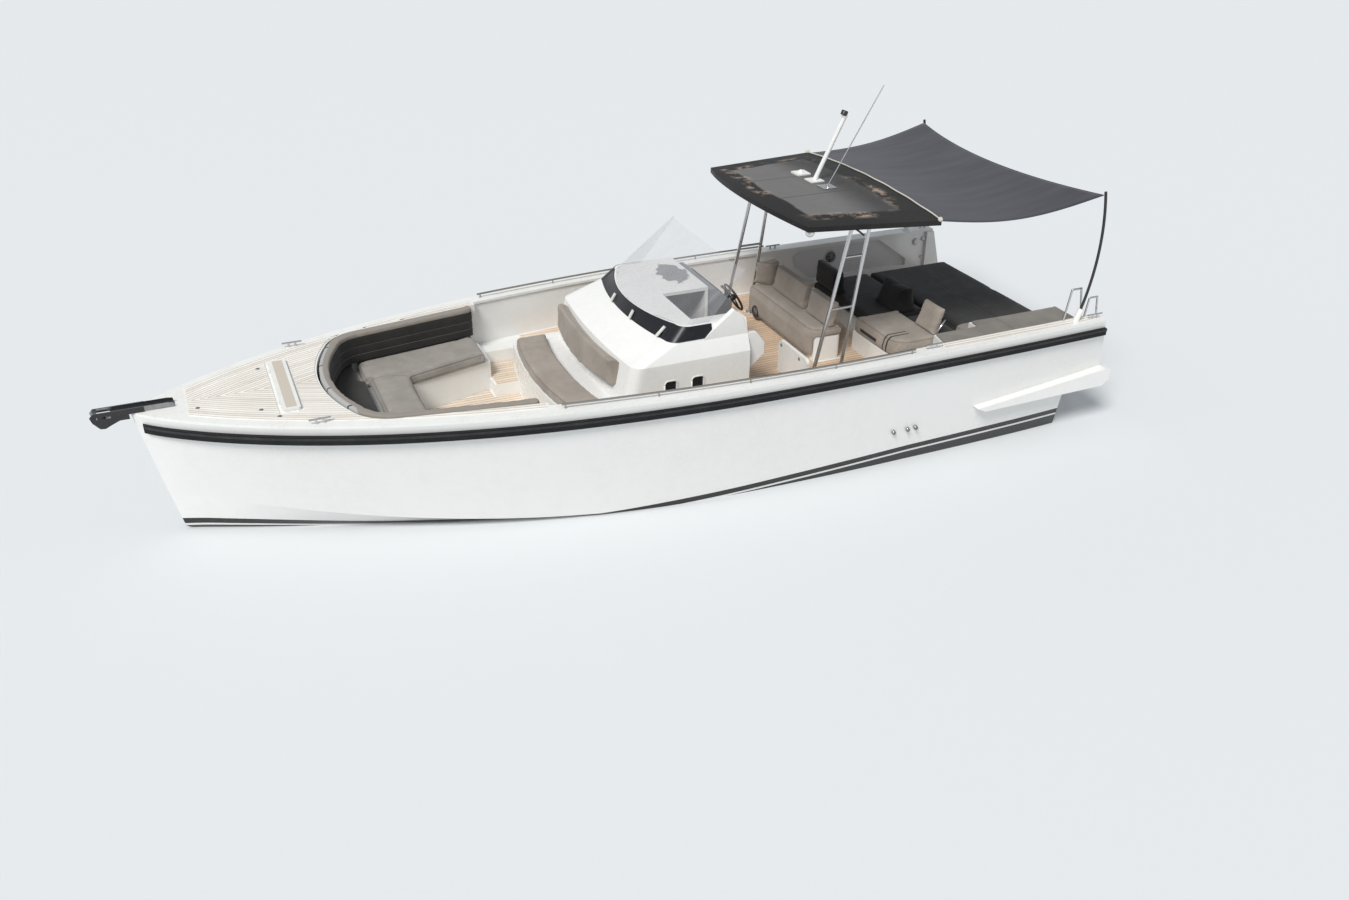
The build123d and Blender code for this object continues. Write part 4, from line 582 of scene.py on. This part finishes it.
# A strut behind the port backrest, a black brace at the head of the port leg, and a small slot in the
# footwell's side
strut = [(-2.975, 1.315, 1.34), (-3.04, 1.315, 1.45), (-3.11, 1.315, 1.565)]
fitted("backrest_strut", [tube(strut, 0.011, (0, 1, 0))], steel)
brace = [(-1.80, 1.17, 2.83), (-1.86, 1.17, 2.785), (-1.925, 1.17, 2.735)]
fitted("leg_brace", [tube(brace, 0.011, (0, 1, 0))], black_plastic)
slot = [(x, -0.751, z) for x, z in ((2.677, 0.692), (2.677, 0.712), (2.607, 0.712), (2.607, 0.692))]
fitted("footwell_slot", [plate(slot, (0, 0.006, 0))], dull_metal, False)

# ---- Engines and drives
# Grey painted blocks stand for the two engines under the sun lounge. The cast drives are painted
# black, and each carries two bronze propellers.
paint(weathered("engine_paint", (0.30, 0.31, 0.32), (0.12, 0.11, 0.10), 0.5, 4.0, 0.4, 0.7, 0.3)[0], "engines")
paint(weathered("drive_paint", (0.05, 0.052, 0.055), (0.16, 0.16, 0.15), 0.5, 4.0, 0.4, 0.7, 0.3)[0],
      "drive_port", "drive_starboard")
paint(weathered("bronze", (0.52, 0.36, 0.16), (0.25, 0.2, 0.1), 0.5, 6.0, 0.25, 0.5, 0.2, Metallic=1.0)[0],
      *[name for name in nodes if name.startswith("propeller")])

# ---- Hardtop
# A dark moulded roof: three satin grey panels in a black painted border, whose paint has weathered
# through to a chalky pink where the two meet. A white cap closes the front port corner, and the white
# mast behind has a black one.
roof, tree, shader, place = weathered("roof_paint", (0.011, 0.010, 0.010), (0.045, 0.040, 0.037), 0.45, 2.0,
                                      0.5, 0.7, 0.15, Specular_IOR_Level=0.25)
axes = add(tree, "SeparateXYZ", None, Vector=place).outputs
wander = noise(tree, place, 2.6, 3.0)
side = maths(tree, "ABSOLUTE", axes["Y"])
ROOF_AFT, ROOF_FORE, HALF_AFT, HALF_FORE = -2.707, -1.14, 1.20, 0.93
PANELS_AFT, PANELS_FORE = -2.42, -1.22
taper = spread(tree, axes["X"], ROOF_AFT, ROOF_FORE, HALF_AFT, HALF_FORE)
inside = maths(tree, "SUBTRACT", taper, side)
front = maths(tree, "MULTIPLY_ADD", side, -0.10, PANELS_FORE)
from_front = maths(tree, "SUBTRACT", front, axes["X"])
from_rear = maths(tree, "SUBTRACT", axes["X"], PANELS_AFT)
least = maths(tree, "MINIMUM", inside, from_front)
least = maths(tree, "MINIMUM", least, from_rear)
panel_edge = maths(tree, "MULTIPLY_ADD", wander, 0.10, -0.05)
panel_edge = maths(tree, "ADD", least, panel_edge)
facing = add(tree, "SeparateXYZ", None, Vector=add(tree, "NewGeometry").outputs["Normal"]).outputs["Z"]
upward = spread(tree, facing, 0.3, 0.6)
panel = eased(tree, panel_edge, -0.02, 0.02)
panel = maths(tree, "MULTIPLY", panel, upward)
tinted(tree, shader, panel, (0.150, 0.145, 0.142))
shadow = eased(tree, axes["X"], -1.75, -2.3, 0.0, 0.75)
tinted(tree, shader, shadow, (0.020, 0.019, 0.018))
PANEL_HALF = 0.36
third = maths(tree, "PINGPONG", maths(tree, "ADD", axes["Y"], PANEL_HALF), PANEL_HALF)
joint = mask_between(tree, third, -0.1, 0.006, 0.003)
joint = maths(tree, "MULTIPLY", joint, panel)
tinted(tree, shader, joint, (0.040, 0.038, 0.038))
chalk_noise = noise(tree, place, 5.5, 7.0, 0.72)
where = noise(tree, place, 1.25, 1.0)
border = mask_between(tree, panel_edge, -0.13, 0.035, 0.05)
chalk = spread(tree, chalk_noise, 0.48, 0.62)
chalk = maths(tree, "MULTIPLY", chalk, border)
chalk = maths(tree, "MULTIPLY", chalk, spread(tree, where, 0.44, 0.6))
chalk = maths(tree, "MULTIPLY", chalk, upward)
tinted(tree, shader, chalk, (0.36, 0.27, 0.215))
paint(roof, "hardtop")
corner = [(0, 0.03), (0.03, 0.028), (0.05, 0.010), (0.052, -0.012), (0, -0.02)]
fitted("roof_corner_cap", [turned_shape(corner, (-1.185, 1.215, 2.872), (0.4, 0.5, -0.1))], plug_white)
paint(weathered("mast_paint", (0.78, 0.78, 0.77), (0.4, 0.38, 0.35), 0.35, 6.0, 0.3, 0.5)[0], "mast")
cap = [(0, 0.014), (0.032, 0.013), (0.041, 0.006), (0.041, -0.045)]
fitted("mast_cap", [turned_shape(cap, (-2.339, -0.106, 3.806), (-0.36, 0, 0.93))], black_plastic)

# ---- Shade cloth
# Dark woven shade netting, stretched from a pale rope on the roof's rear edge to the tops of the
# two poles. Its edges are hemmed, and it hangs a little between its corners.
EAVE, ARCH, ROOF_HALF = 2.9, 0.11, 1.73


def roof_height(y):
    """The roof's top along its rear edge: a parabola as high as ARCH over the eaves, ROOF_HALF to each side."""
    return EAVE + ARCH * (1 - (y / ROOF_HALF) ** 2)


ROOF_REAR, POLES, POLE_TOP, FORE_HALF, AFT_HALF = -2.709, -4.742, 3.066, 1.515, 1.821
paint(black_plastic, "shade_poles")
# u runs from the roof to the poles and v from starboard to port. The cloth is ruled between its two
# ends, with half a sine wave of sag along u, hollow edges, and a few faint ripples
u, v = np.meshgrid(np.linspace(0, 1, 49), np.linspace(-1, 1, 65), indexing="ij")
fore_y = FORE_HALF * v
aft_x = POLES + 0.225 * (1 - v**2)
across = v * (FORE_HALF + (AFT_HALF - FORE_HALF) * u - 0.02 * 4 * u * (1 - u))
sag = (0.105 + 0.03 * v) * np.sin(np.pi * u) + 0.05 * u * (1 - v**2)
fore_z = roof_height(fore_y) - 0.012
ripple = 0.004 * np.sin(9 * v + 3 * u) * np.sin(np.pi * u) * (1 - v**2)
cloth = np.stack([ROOF_REAR + u * (aft_x - ROOF_REAR), across,
                  (1 - u) * fore_z + u * POLE_TOP - sag + ripple], -1)
shade, tree, shader, place = finish("shade_netting", (0.05, 0.05, 0.06), 0.85, Sheen_Weight=0.2)
net = add(tree, "Mapping", None, Vector=place, Scale=(260.0, 260.0, 1.0)).outputs[0]
axes = add(tree, "SeparateXYZ", None, Vector=net).outputs
threads = [maths(tree, "SINE", axes[k]) for k in ("X", "Y")]
weave = maths(tree, "MULTIPLY", threads[0], threads[1])
broad_at = add(tree, "Mapping", None, Vector=place, Scale=(0.5, 3.0, 1.0)).outputs[0]
broad = noise(tree, broad_at, 2.0, 4.0)
tone = add(tree, "ValToRGB", None, Fac=broad)
for stop, spot, colour in zip(tone.color_ramp.elements, (0.3, 0.75),
                              ((0.028, 0.030, 0.040, 1), (0.050, 0.052, 0.066, 1))):
    stop.position, stop.color = spot, colour
tree.links.new(tone.outputs["Color"], shader.inputs["Base Color"])
relief = add(tree, "Bump", None, Height=weave, Strength=0.3, Distance=0.001)
tree.links.new(relief.outputs[0], shader.inputs["Normal"])
points, faces = grid(cloth)
sail = fitted("shade_sail", [(points, [face[::-1] for face in faces])], shade)
thick = sail.modifiers.new("thickness", "SOLIDIFY")
thick.thickness, thick.offset = 0.002, 0
edges = [cloth[:, 0], cloth[:, -1], cloth[-1]]
hem = fitted("shade_hem", [tube(edge, 0.006, (0, 0, 1), 8) for edge in edges], shade)
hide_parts("shade_cloth")
rope, tree, shader, place = finish("edge_rope", (0.62, 0.58, 0.52), 0.8)
twist = add(tree, "TexWave", {"bands_direction": "DIAGONAL"}, Vector=place, Scale=60.0,
            Distortion=1.0).outputs["Fac"]
tone = blend(tree, twist, (0.42, 0.39, 0.34, 1), (0.68, 0.65, 0.60, 1))
tree.links.new(tone, shader.inputs["Base Color"])
y = np.linspace(-1.52, 1.52, 90)
edge_rope = np.stack([-2.695 + 0.004 * np.sin(13 * y), y, roof_height(y) + 0.009], -1)
knot = [(0, 0.030), (0.020, 0.024), (0.030, 0.0), (0.020, -0.024), (0, -0.030)]
knots = [turned_shape(knot, end, (0, 1, 0), 14) for end in (edge_rope[0], edge_rope[-1])]
fitted("edge_rope", [tube(edge_rope, 0.009, (0, 0, 1), 10)] + knots, rope)

# ---- Upholstery
# Foam cushions in coated taupe canvas. The dark grey of the bow pad, the bow backrest's face, the port
# pad, the sofa and the sun lounge is painted shade, and so is the quarter pad's darker taupe. Each is
# blown up from the space that its solid holds, with its seams sewn in afterwards.
canvas, entry, leave = group(
    "canvas",
    [("Vector", "Vector", None), ("Seam", "Float", 0.0), ("Light", "Color", (0.3, 0.27, 0.24, 1)),
     ("Dark", "Color", (0.2, 0.17, 0.15, 1))],
    [("Color", "Color"), ("Roughness", "Float"), ("Height", "Float")])
patchy = noise(canvas, entry["Vector"], 3.2, 6.0, 0.62)
patchy = spread(canvas, patchy, 0.32, 0.72)
tone = blend(canvas, patchy, entry["Dark"], entry["Light"])
fine = add(canvas, "VectorMath", {"operation": "SCALE"}, _0=entry["Vector"], Scale=1400.0).outputs[0]
fine = add(canvas, "SeparateXYZ", None, Vector=fine).outputs
waves = [maths(canvas, "SINE", fine[k]) for k in ("X", "Y", "Z")]
weave = maths(canvas, "MULTIPLY_ADD", waves[0], waves[1], waves[2])
crease = noise(canvas, entry["Vector"], 11.0, 3.0, Distortion=0.6)
specks = noise(canvas, entry["Vector"], 160.0, 2.0)
specks = add(canvas, "CombineColor", None, Red=specks, Green=specks, Blue=specks).outputs[0]
tone = blend(canvas, 0.35, tone, specks, "OVERLAY")
sewn = maths(canvas, "MULTIPLY", entry["Seam"], 0.35)
tone = blend(canvas, sewn, tone, (0.012, 0.011, 0.010, 1))
height = maths(canvas, "MULTIPLY_ADD", crease, 9.0, weave)
canvas.links.new(tone, leave["Color"])
canvas.links.new(spread(canvas, patchy, 0, 1, 0.9, 0.72), leave["Roughness"])
canvas.links.new(height, leave["Height"])


def covering(name, light, dark):
    """A canvas covering that darkens along its sewn seams."""
    material, tree, shader, place = finish(name, light, 0.85, Sheen_Weight=0.15, Specular_IOR_Level=0.3)
    seam = add(tree, "Attribute", {"attribute_name": "seam"}).outputs["Fac"]
    coat(tree, shader, canvas, 0.35, 0.0012, Vector=place, Seam=seam, Light=(*light, 1), Dark=(*dark, 1))
    return material, tree, shader, place


TAUPE, TAUPE_DARK = (0.37, 0.325, 0.285), (0.275, 0.240, 0.205)
# The dark grey tones are painted shade: the taupe canvas as it looks in deep shade.
SHADE_CHARCOAL, SHADE_CHARCOAL_DARK = (0.032, 0.030, 0.029), (0.019, 0.018, 0.017)
taupe = covering("taupe_canvas", TAUPE, TAUPE_DARK)[0]
pale_taupe = covering("pale_taupe_canvas", (0.36, 0.335, 0.305), (0.26, 0.240, 0.215))[0]
shaded_taupe = covering("shaded_taupe_canvas", (0.245, 0.225, 0.200), (0.175, 0.160, 0.142))[0]
shade_charcoal = covering("shade_charcoal_canvas", SHADE_CHARCOAL, SHADE_CHARCOAL_DARK)[0]
# The port cushion has a dark band painted across its front and two dark straps over its outer end
port_canvas, tree, shader, place = covering("port_canvas", TAUPE, TAUPE_DARK)
axes = add(tree, "SeparateXYZ", None, Vector=place).outputs
front = mask_between(tree, axes["X"], -2.47, 0.0, 0.005)
slot = maths(tree, "MULTIPLY", mask_between(tree, axes["Y"], 0.53, 0.90, 0.01),
             mask_between(tree, axes["Z"], 1.205, 1.250, 0.004))
tinted(tree, shader, maths(tree, "MULTIPLY", slot, front), (0.012, 0.012, 0.012))
STRAP_HALF = 0.011
for y in (1.045, 1.110):
    strap = maths(tree, "MULTIPLY", mask_between(tree, axes["Y"], y - STRAP_HALF, y + STRAP_HALF, 0.002),
                  mask_between(tree, axes["X"], -2.75, 0.0, 0.01))
    tinted(tree, shader, strap, (0.02, 0.02, 0.021))
# Painted light: the sun lounge's port edge, which lies outside the cloth's shadow, is painted lit taupe
lounge_canvas, tree, shader, place = covering("lounge_canvas", SHADE_CHARCOAL, SHADE_CHARCOAL_DARK)
sunlit_edge = mask_between(tree, add(tree, "SeparateXYZ", None, Vector=place).outputs["Y"], 0.90, 3.0, 0.008)
tinted(tree, shader, sunlit_edge, (0.25, 0.222, 0.195))
# The bow backrest's inner face is dark grey as painted shade, with pale stitching, under a taupe roll
# that has a grey hem round its front, and a dark cap on its port end
ROLL_FOOT = 1.462
shade_face_and_roll, tree, shader, place = covering("bow_back_canvas", SHADE_CHARCOAL, SHADE_CHARCOAL_DARK)
height = add(tree, "SeparateXYZ", None, Vector=place).outputs["Z"]
for line in (1.245, 1.345):
    tinted(tree, shader, mask_between(tree, height, line - 0.003, line + 0.003, 0.002), (0.13, 0.125, 0.12))
roll = eased(tree, height, ROLL_FOOT, 1.468)
tinted(tree, shader, roll, (0.27, 0.24, 0.21))
axes = add(tree, "SeparateXYZ", None, Vector=place).outputs
bulge = maths(tree, "MULTIPLY", axes["Y"], axes["Y"])
bulge = maths(tree, "MULTIPLY_ADD", bulge, 0.27, axes["X"])
hem_band = maths(tree, "MULTIPLY", mask_between(tree, bulge, 4.045, 5.0, 0.003),
                 mask_between(tree, axes["X"], 3.86, 5.0, 0.004))
tinted(tree, shader, hem_band, (0.40, 0.40, 0.39))
for y in (-0.80, -0.34, 0.27, 0.76):
    split = mask_between(tree, axes["Y"], y - 0.012, y + 0.012, 0.003)
    tinted(tree, shader, maths(tree, "MULTIPLY", hem_band, split), (0.03, 0.03, 0.03))
cap = maths(tree, "MULTIPLY", mask_between(tree, axes["X"], 0.0, 2.075, 0.004),
            mask_between(tree, axes["Y"], 0.0, 3.0, 0.01))
tinted(tree, shader, cap, (0.05, 0.047, 0.045))

DOWN, AFT, BACKREST_FACE = (0, 0, -1), (-1, 0, 0), (-0.96, 0, 0.28)
# Each cushion: node, covering, slot, voxel, swell, fill, the sides it rests on, and its seams as
# (axis, place); MITRE is the slanting line on both sides where the bow cushions meet
CUSHIONS = (
    ("bow_cushions", pale_taupe, "upholstery_taupe", 0.017, 0.020, 0.7, (DOWN,),
     (("Z", 1.105), ("Z", 1.02), ("MITRE", 0.418))),
    ("bow_pad", shade_charcoal, "upholstery_dark", 0.018, 0.005, 0.6, (DOWN,), ()),
    ("bow_backrest", shade_face_and_roll, "upholstery_dark", 0.026, 0.016, 0.7, (DOWN,),
     (("Z", ROLL_FOOT), ("Z", 1.345), ("Z", 1.245))),
    ("console_seat", taupe, "upholstery_taupe", 0.016, 0.014, 0.8, (DOWN,), (("Z", 1.155),)),
    ("console_backrest", taupe, "upholstery_taupe", 0.014, 0.010, 0.7, (BACKREST_FACE, AFT), ()),
    ("helm_cushion", taupe, "upholstery_taupe", 0.022, 0.014, 0.8, (DOWN, AFT), (("Z", 1.335),)),
    ("helm_backrests", taupe, "upholstery_taupe", 0.020, 0.018, 0.7, (DOWN,), (("Z", 1.655),)),
    ("port_cushion", port_canvas, "upholstery_taupe", 0.022, 0.018, 0.8, (DOWN,), (("Z", 1.33),)),
    ("port_pad", shade_charcoal, "upholstery_dark", 0.024, 0.014, 0.6, (DOWN,), ()),
    ("port_backrest", taupe, "upholstery_taupe", 0.018, 0.022, 0.7, (DOWN,), ()),
    ("quarter_pad", shaded_taupe, "upholstery_taupe", 0.022, 0.010, 0.5, (DOWN,), (("X", -3.9),)),
    ("sofa_cushion", shade_charcoal, "upholstery_dark", 0.026, 0.016, 0.7, (DOWN,), (("Y", -0.40), ("X", -3.1))),
    ("sofa_backrests", shade_charcoal, "upholstery_dark", 0.020, 0.020, 0.7, (DOWN,), ()),
    ("lounge_pads", lounge_canvas, "upholstery_dark", 0.028, 0.014, 0.6, (DOWN,), (("X", -4.25), ("Z", 1.21))),
)
SHRINK, GROOVE, PRESSURE, LAST_FRAME = 0.008, 0.022, 4.0, 20
SEAM_WIDE, SEAM_DEEP = 0.007, 0.006
MITRE_START, MITRE_X, MITRE_Y = 3.08, 0.297, 0.955
# The console's backrest: its foot and height, its rear face's slant and how it and the seat curve across
BACK_FOOT, BACK_HIGH, BACK_SLANT, ACROSS_CURVE = 1.245, 0.335, 0.283, 0.1


def evaluated(piece):
    """The piece's mesh after its modifiers, as a mesh of its own."""
    graph = bpy.context.evaluated_depsgraph_get()
    return bpy.data.meshes.new_from_object(piece.evaluated_get(graph))


def array_of(mesh, key="co"):
    """A mesh's vertex places, or its vertex normals, as an array."""
    values = np.empty(3 * len(mesh.vertices), np.float32)
    (mesh.vertices if key == "co" else mesh.vertex_normals).foreach_get(key, values)
    return values.reshape(-1, 3).astype(float)


# First every cushion is remeshed from its solid, rounded, drawn in a little and pinned where it rests
started = []
for name, cover, slot, voxel, swell, fill, rests, seams in CUSHIONS:
    piece = bpy.data.objects.new(name + "_sewn", nodes[name].data.copy())
    scene.collection.objects.link(piece)
    cells = piece.modifiers.new("cells", "REMESH")
    cells.mode, cells.voxel_size = "VOXEL", voxel
    rounder = piece.modifiers.new("rounder", "SMOOTH")
    rounder.factor, rounder.iterations = 0.5, 12
    piece.data = evaluated(piece)
    piece.modifiers.clear()
    start, normal = array_of(piece.data), array_of(piece.data, "vector")
    x, y, z = start.T
    if name == "console_backrest":
        # Its port end stops short of the console's corner, and its head slopes down to the console
        depth = np.clip((1.195 - ACROSS_CURVE * y**2 - BACK_SLANT * (z - BACK_FOOT) - x) / 0.16, 0, 1)
        head = np.clip((z - BACK_FOOT) / BACK_HIGH, 0, 1)
        start[:, 2] -= 0.13 * depth * head**2
        start[:, 1] *= np.where(y > 0, 0.885, 0.975)
    if name == "console_seat":
        # Its back edge reaches a little further under the backrest
        start[:, 0] -= 0.055 * np.clip((1.61 - ACROSS_CURVE * y**2 - x) / 0.25, 0, 1)
    free = np.ones(len(start))
    for way in rests:
        facing = normal @ np.array(way, float)
        free *= 1 - np.clip((facing - 0.35) / 0.45, 0, 1)
    start -= (GROOVE if name == "bow_pad" else SHRINK) * free[:, None] * normal
    piece.data.vertices.foreach_set("co", start.ravel())
    pins = piece.vertex_groups.new(name="pins")
    pins.add(np.nonzero(free < 0.15)[0].tolist(), 1.0, "REPLACE")
    started.append((piece, start, normal, free))
    press = piece.modifiers.new("press", "CLOTH")
    settings = press.settings
    settings.quality, settings.use_pressure, settings.uniform_pressure_force = 4, True, PRESSURE
    settings.effector_weights.gravity = 0
    settings.vertex_group_mass = "pins"
    settings.tension_stiffness = settings.compression_stiffness = 12
    press.point_cache.frame_end = LAST_FRAME
# Then all of them are blown up together, and each keeps only as much of it as its foam would
for number in range(1, LAST_FRAME + 1):
    scene.frame_set(number)
for (piece, start, normal, free), (name, cover, slot, voxel, swell, fill, rests, seams) in zip(started, CUSHIONS):
    moved = array_of(evaluated(piece)) - start
    far = np.linalg.norm(moved, axis=1)
    moved *= (np.minimum(far, swell) / np.maximum(far, 1e-9) * free)[:, None]
    piece.modifiers.clear()
    piece.data.vertices.foreach_set("co", (start + moved).ravel())
    finer = piece.modifiers.new("finer", "SUBSURF")
    finer.levels = finer.render_levels = 1
    piece.data = evaluated(piece)
    piece.modifiers.clear()
    # Seams are drawn in along planes: a narrow dip, and its strength kept for the covering
    place, normal = array_of(piece.data), array_of(piece.data, "vector")
    dip = np.zeros(len(place))
    x, y, z = place.T
    measure = {"X": x, "Y": y, "Z": z}
    measure["MITRE"] = np.where(x > MITRE_START, MITRE_X * x - MITRE_Y * np.abs(y), 0.0)
    for axis, at in seams:
        dip = np.maximum(dip, np.exp(-(((measure[axis] - at) / SEAM_WIDE) ** 2)))
    place -= SEAM_DEEP * dip[:, None] * normal
    piece.data.vertices.foreach_set("co", place.ravel())
    piece.data.attributes.new("seam", "FLOAT", "POINT").data.foreach_set("value", dip.astype(np.float32))
    piece.data.materials.clear()
    piece.data.materials.append(cover)
    piece.data.shade_smooth()
    piece.data.update()
    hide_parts(name)
    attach(piece, "lounge" if name == "lounge_pads" else "boat")
scene.frame_set(1)
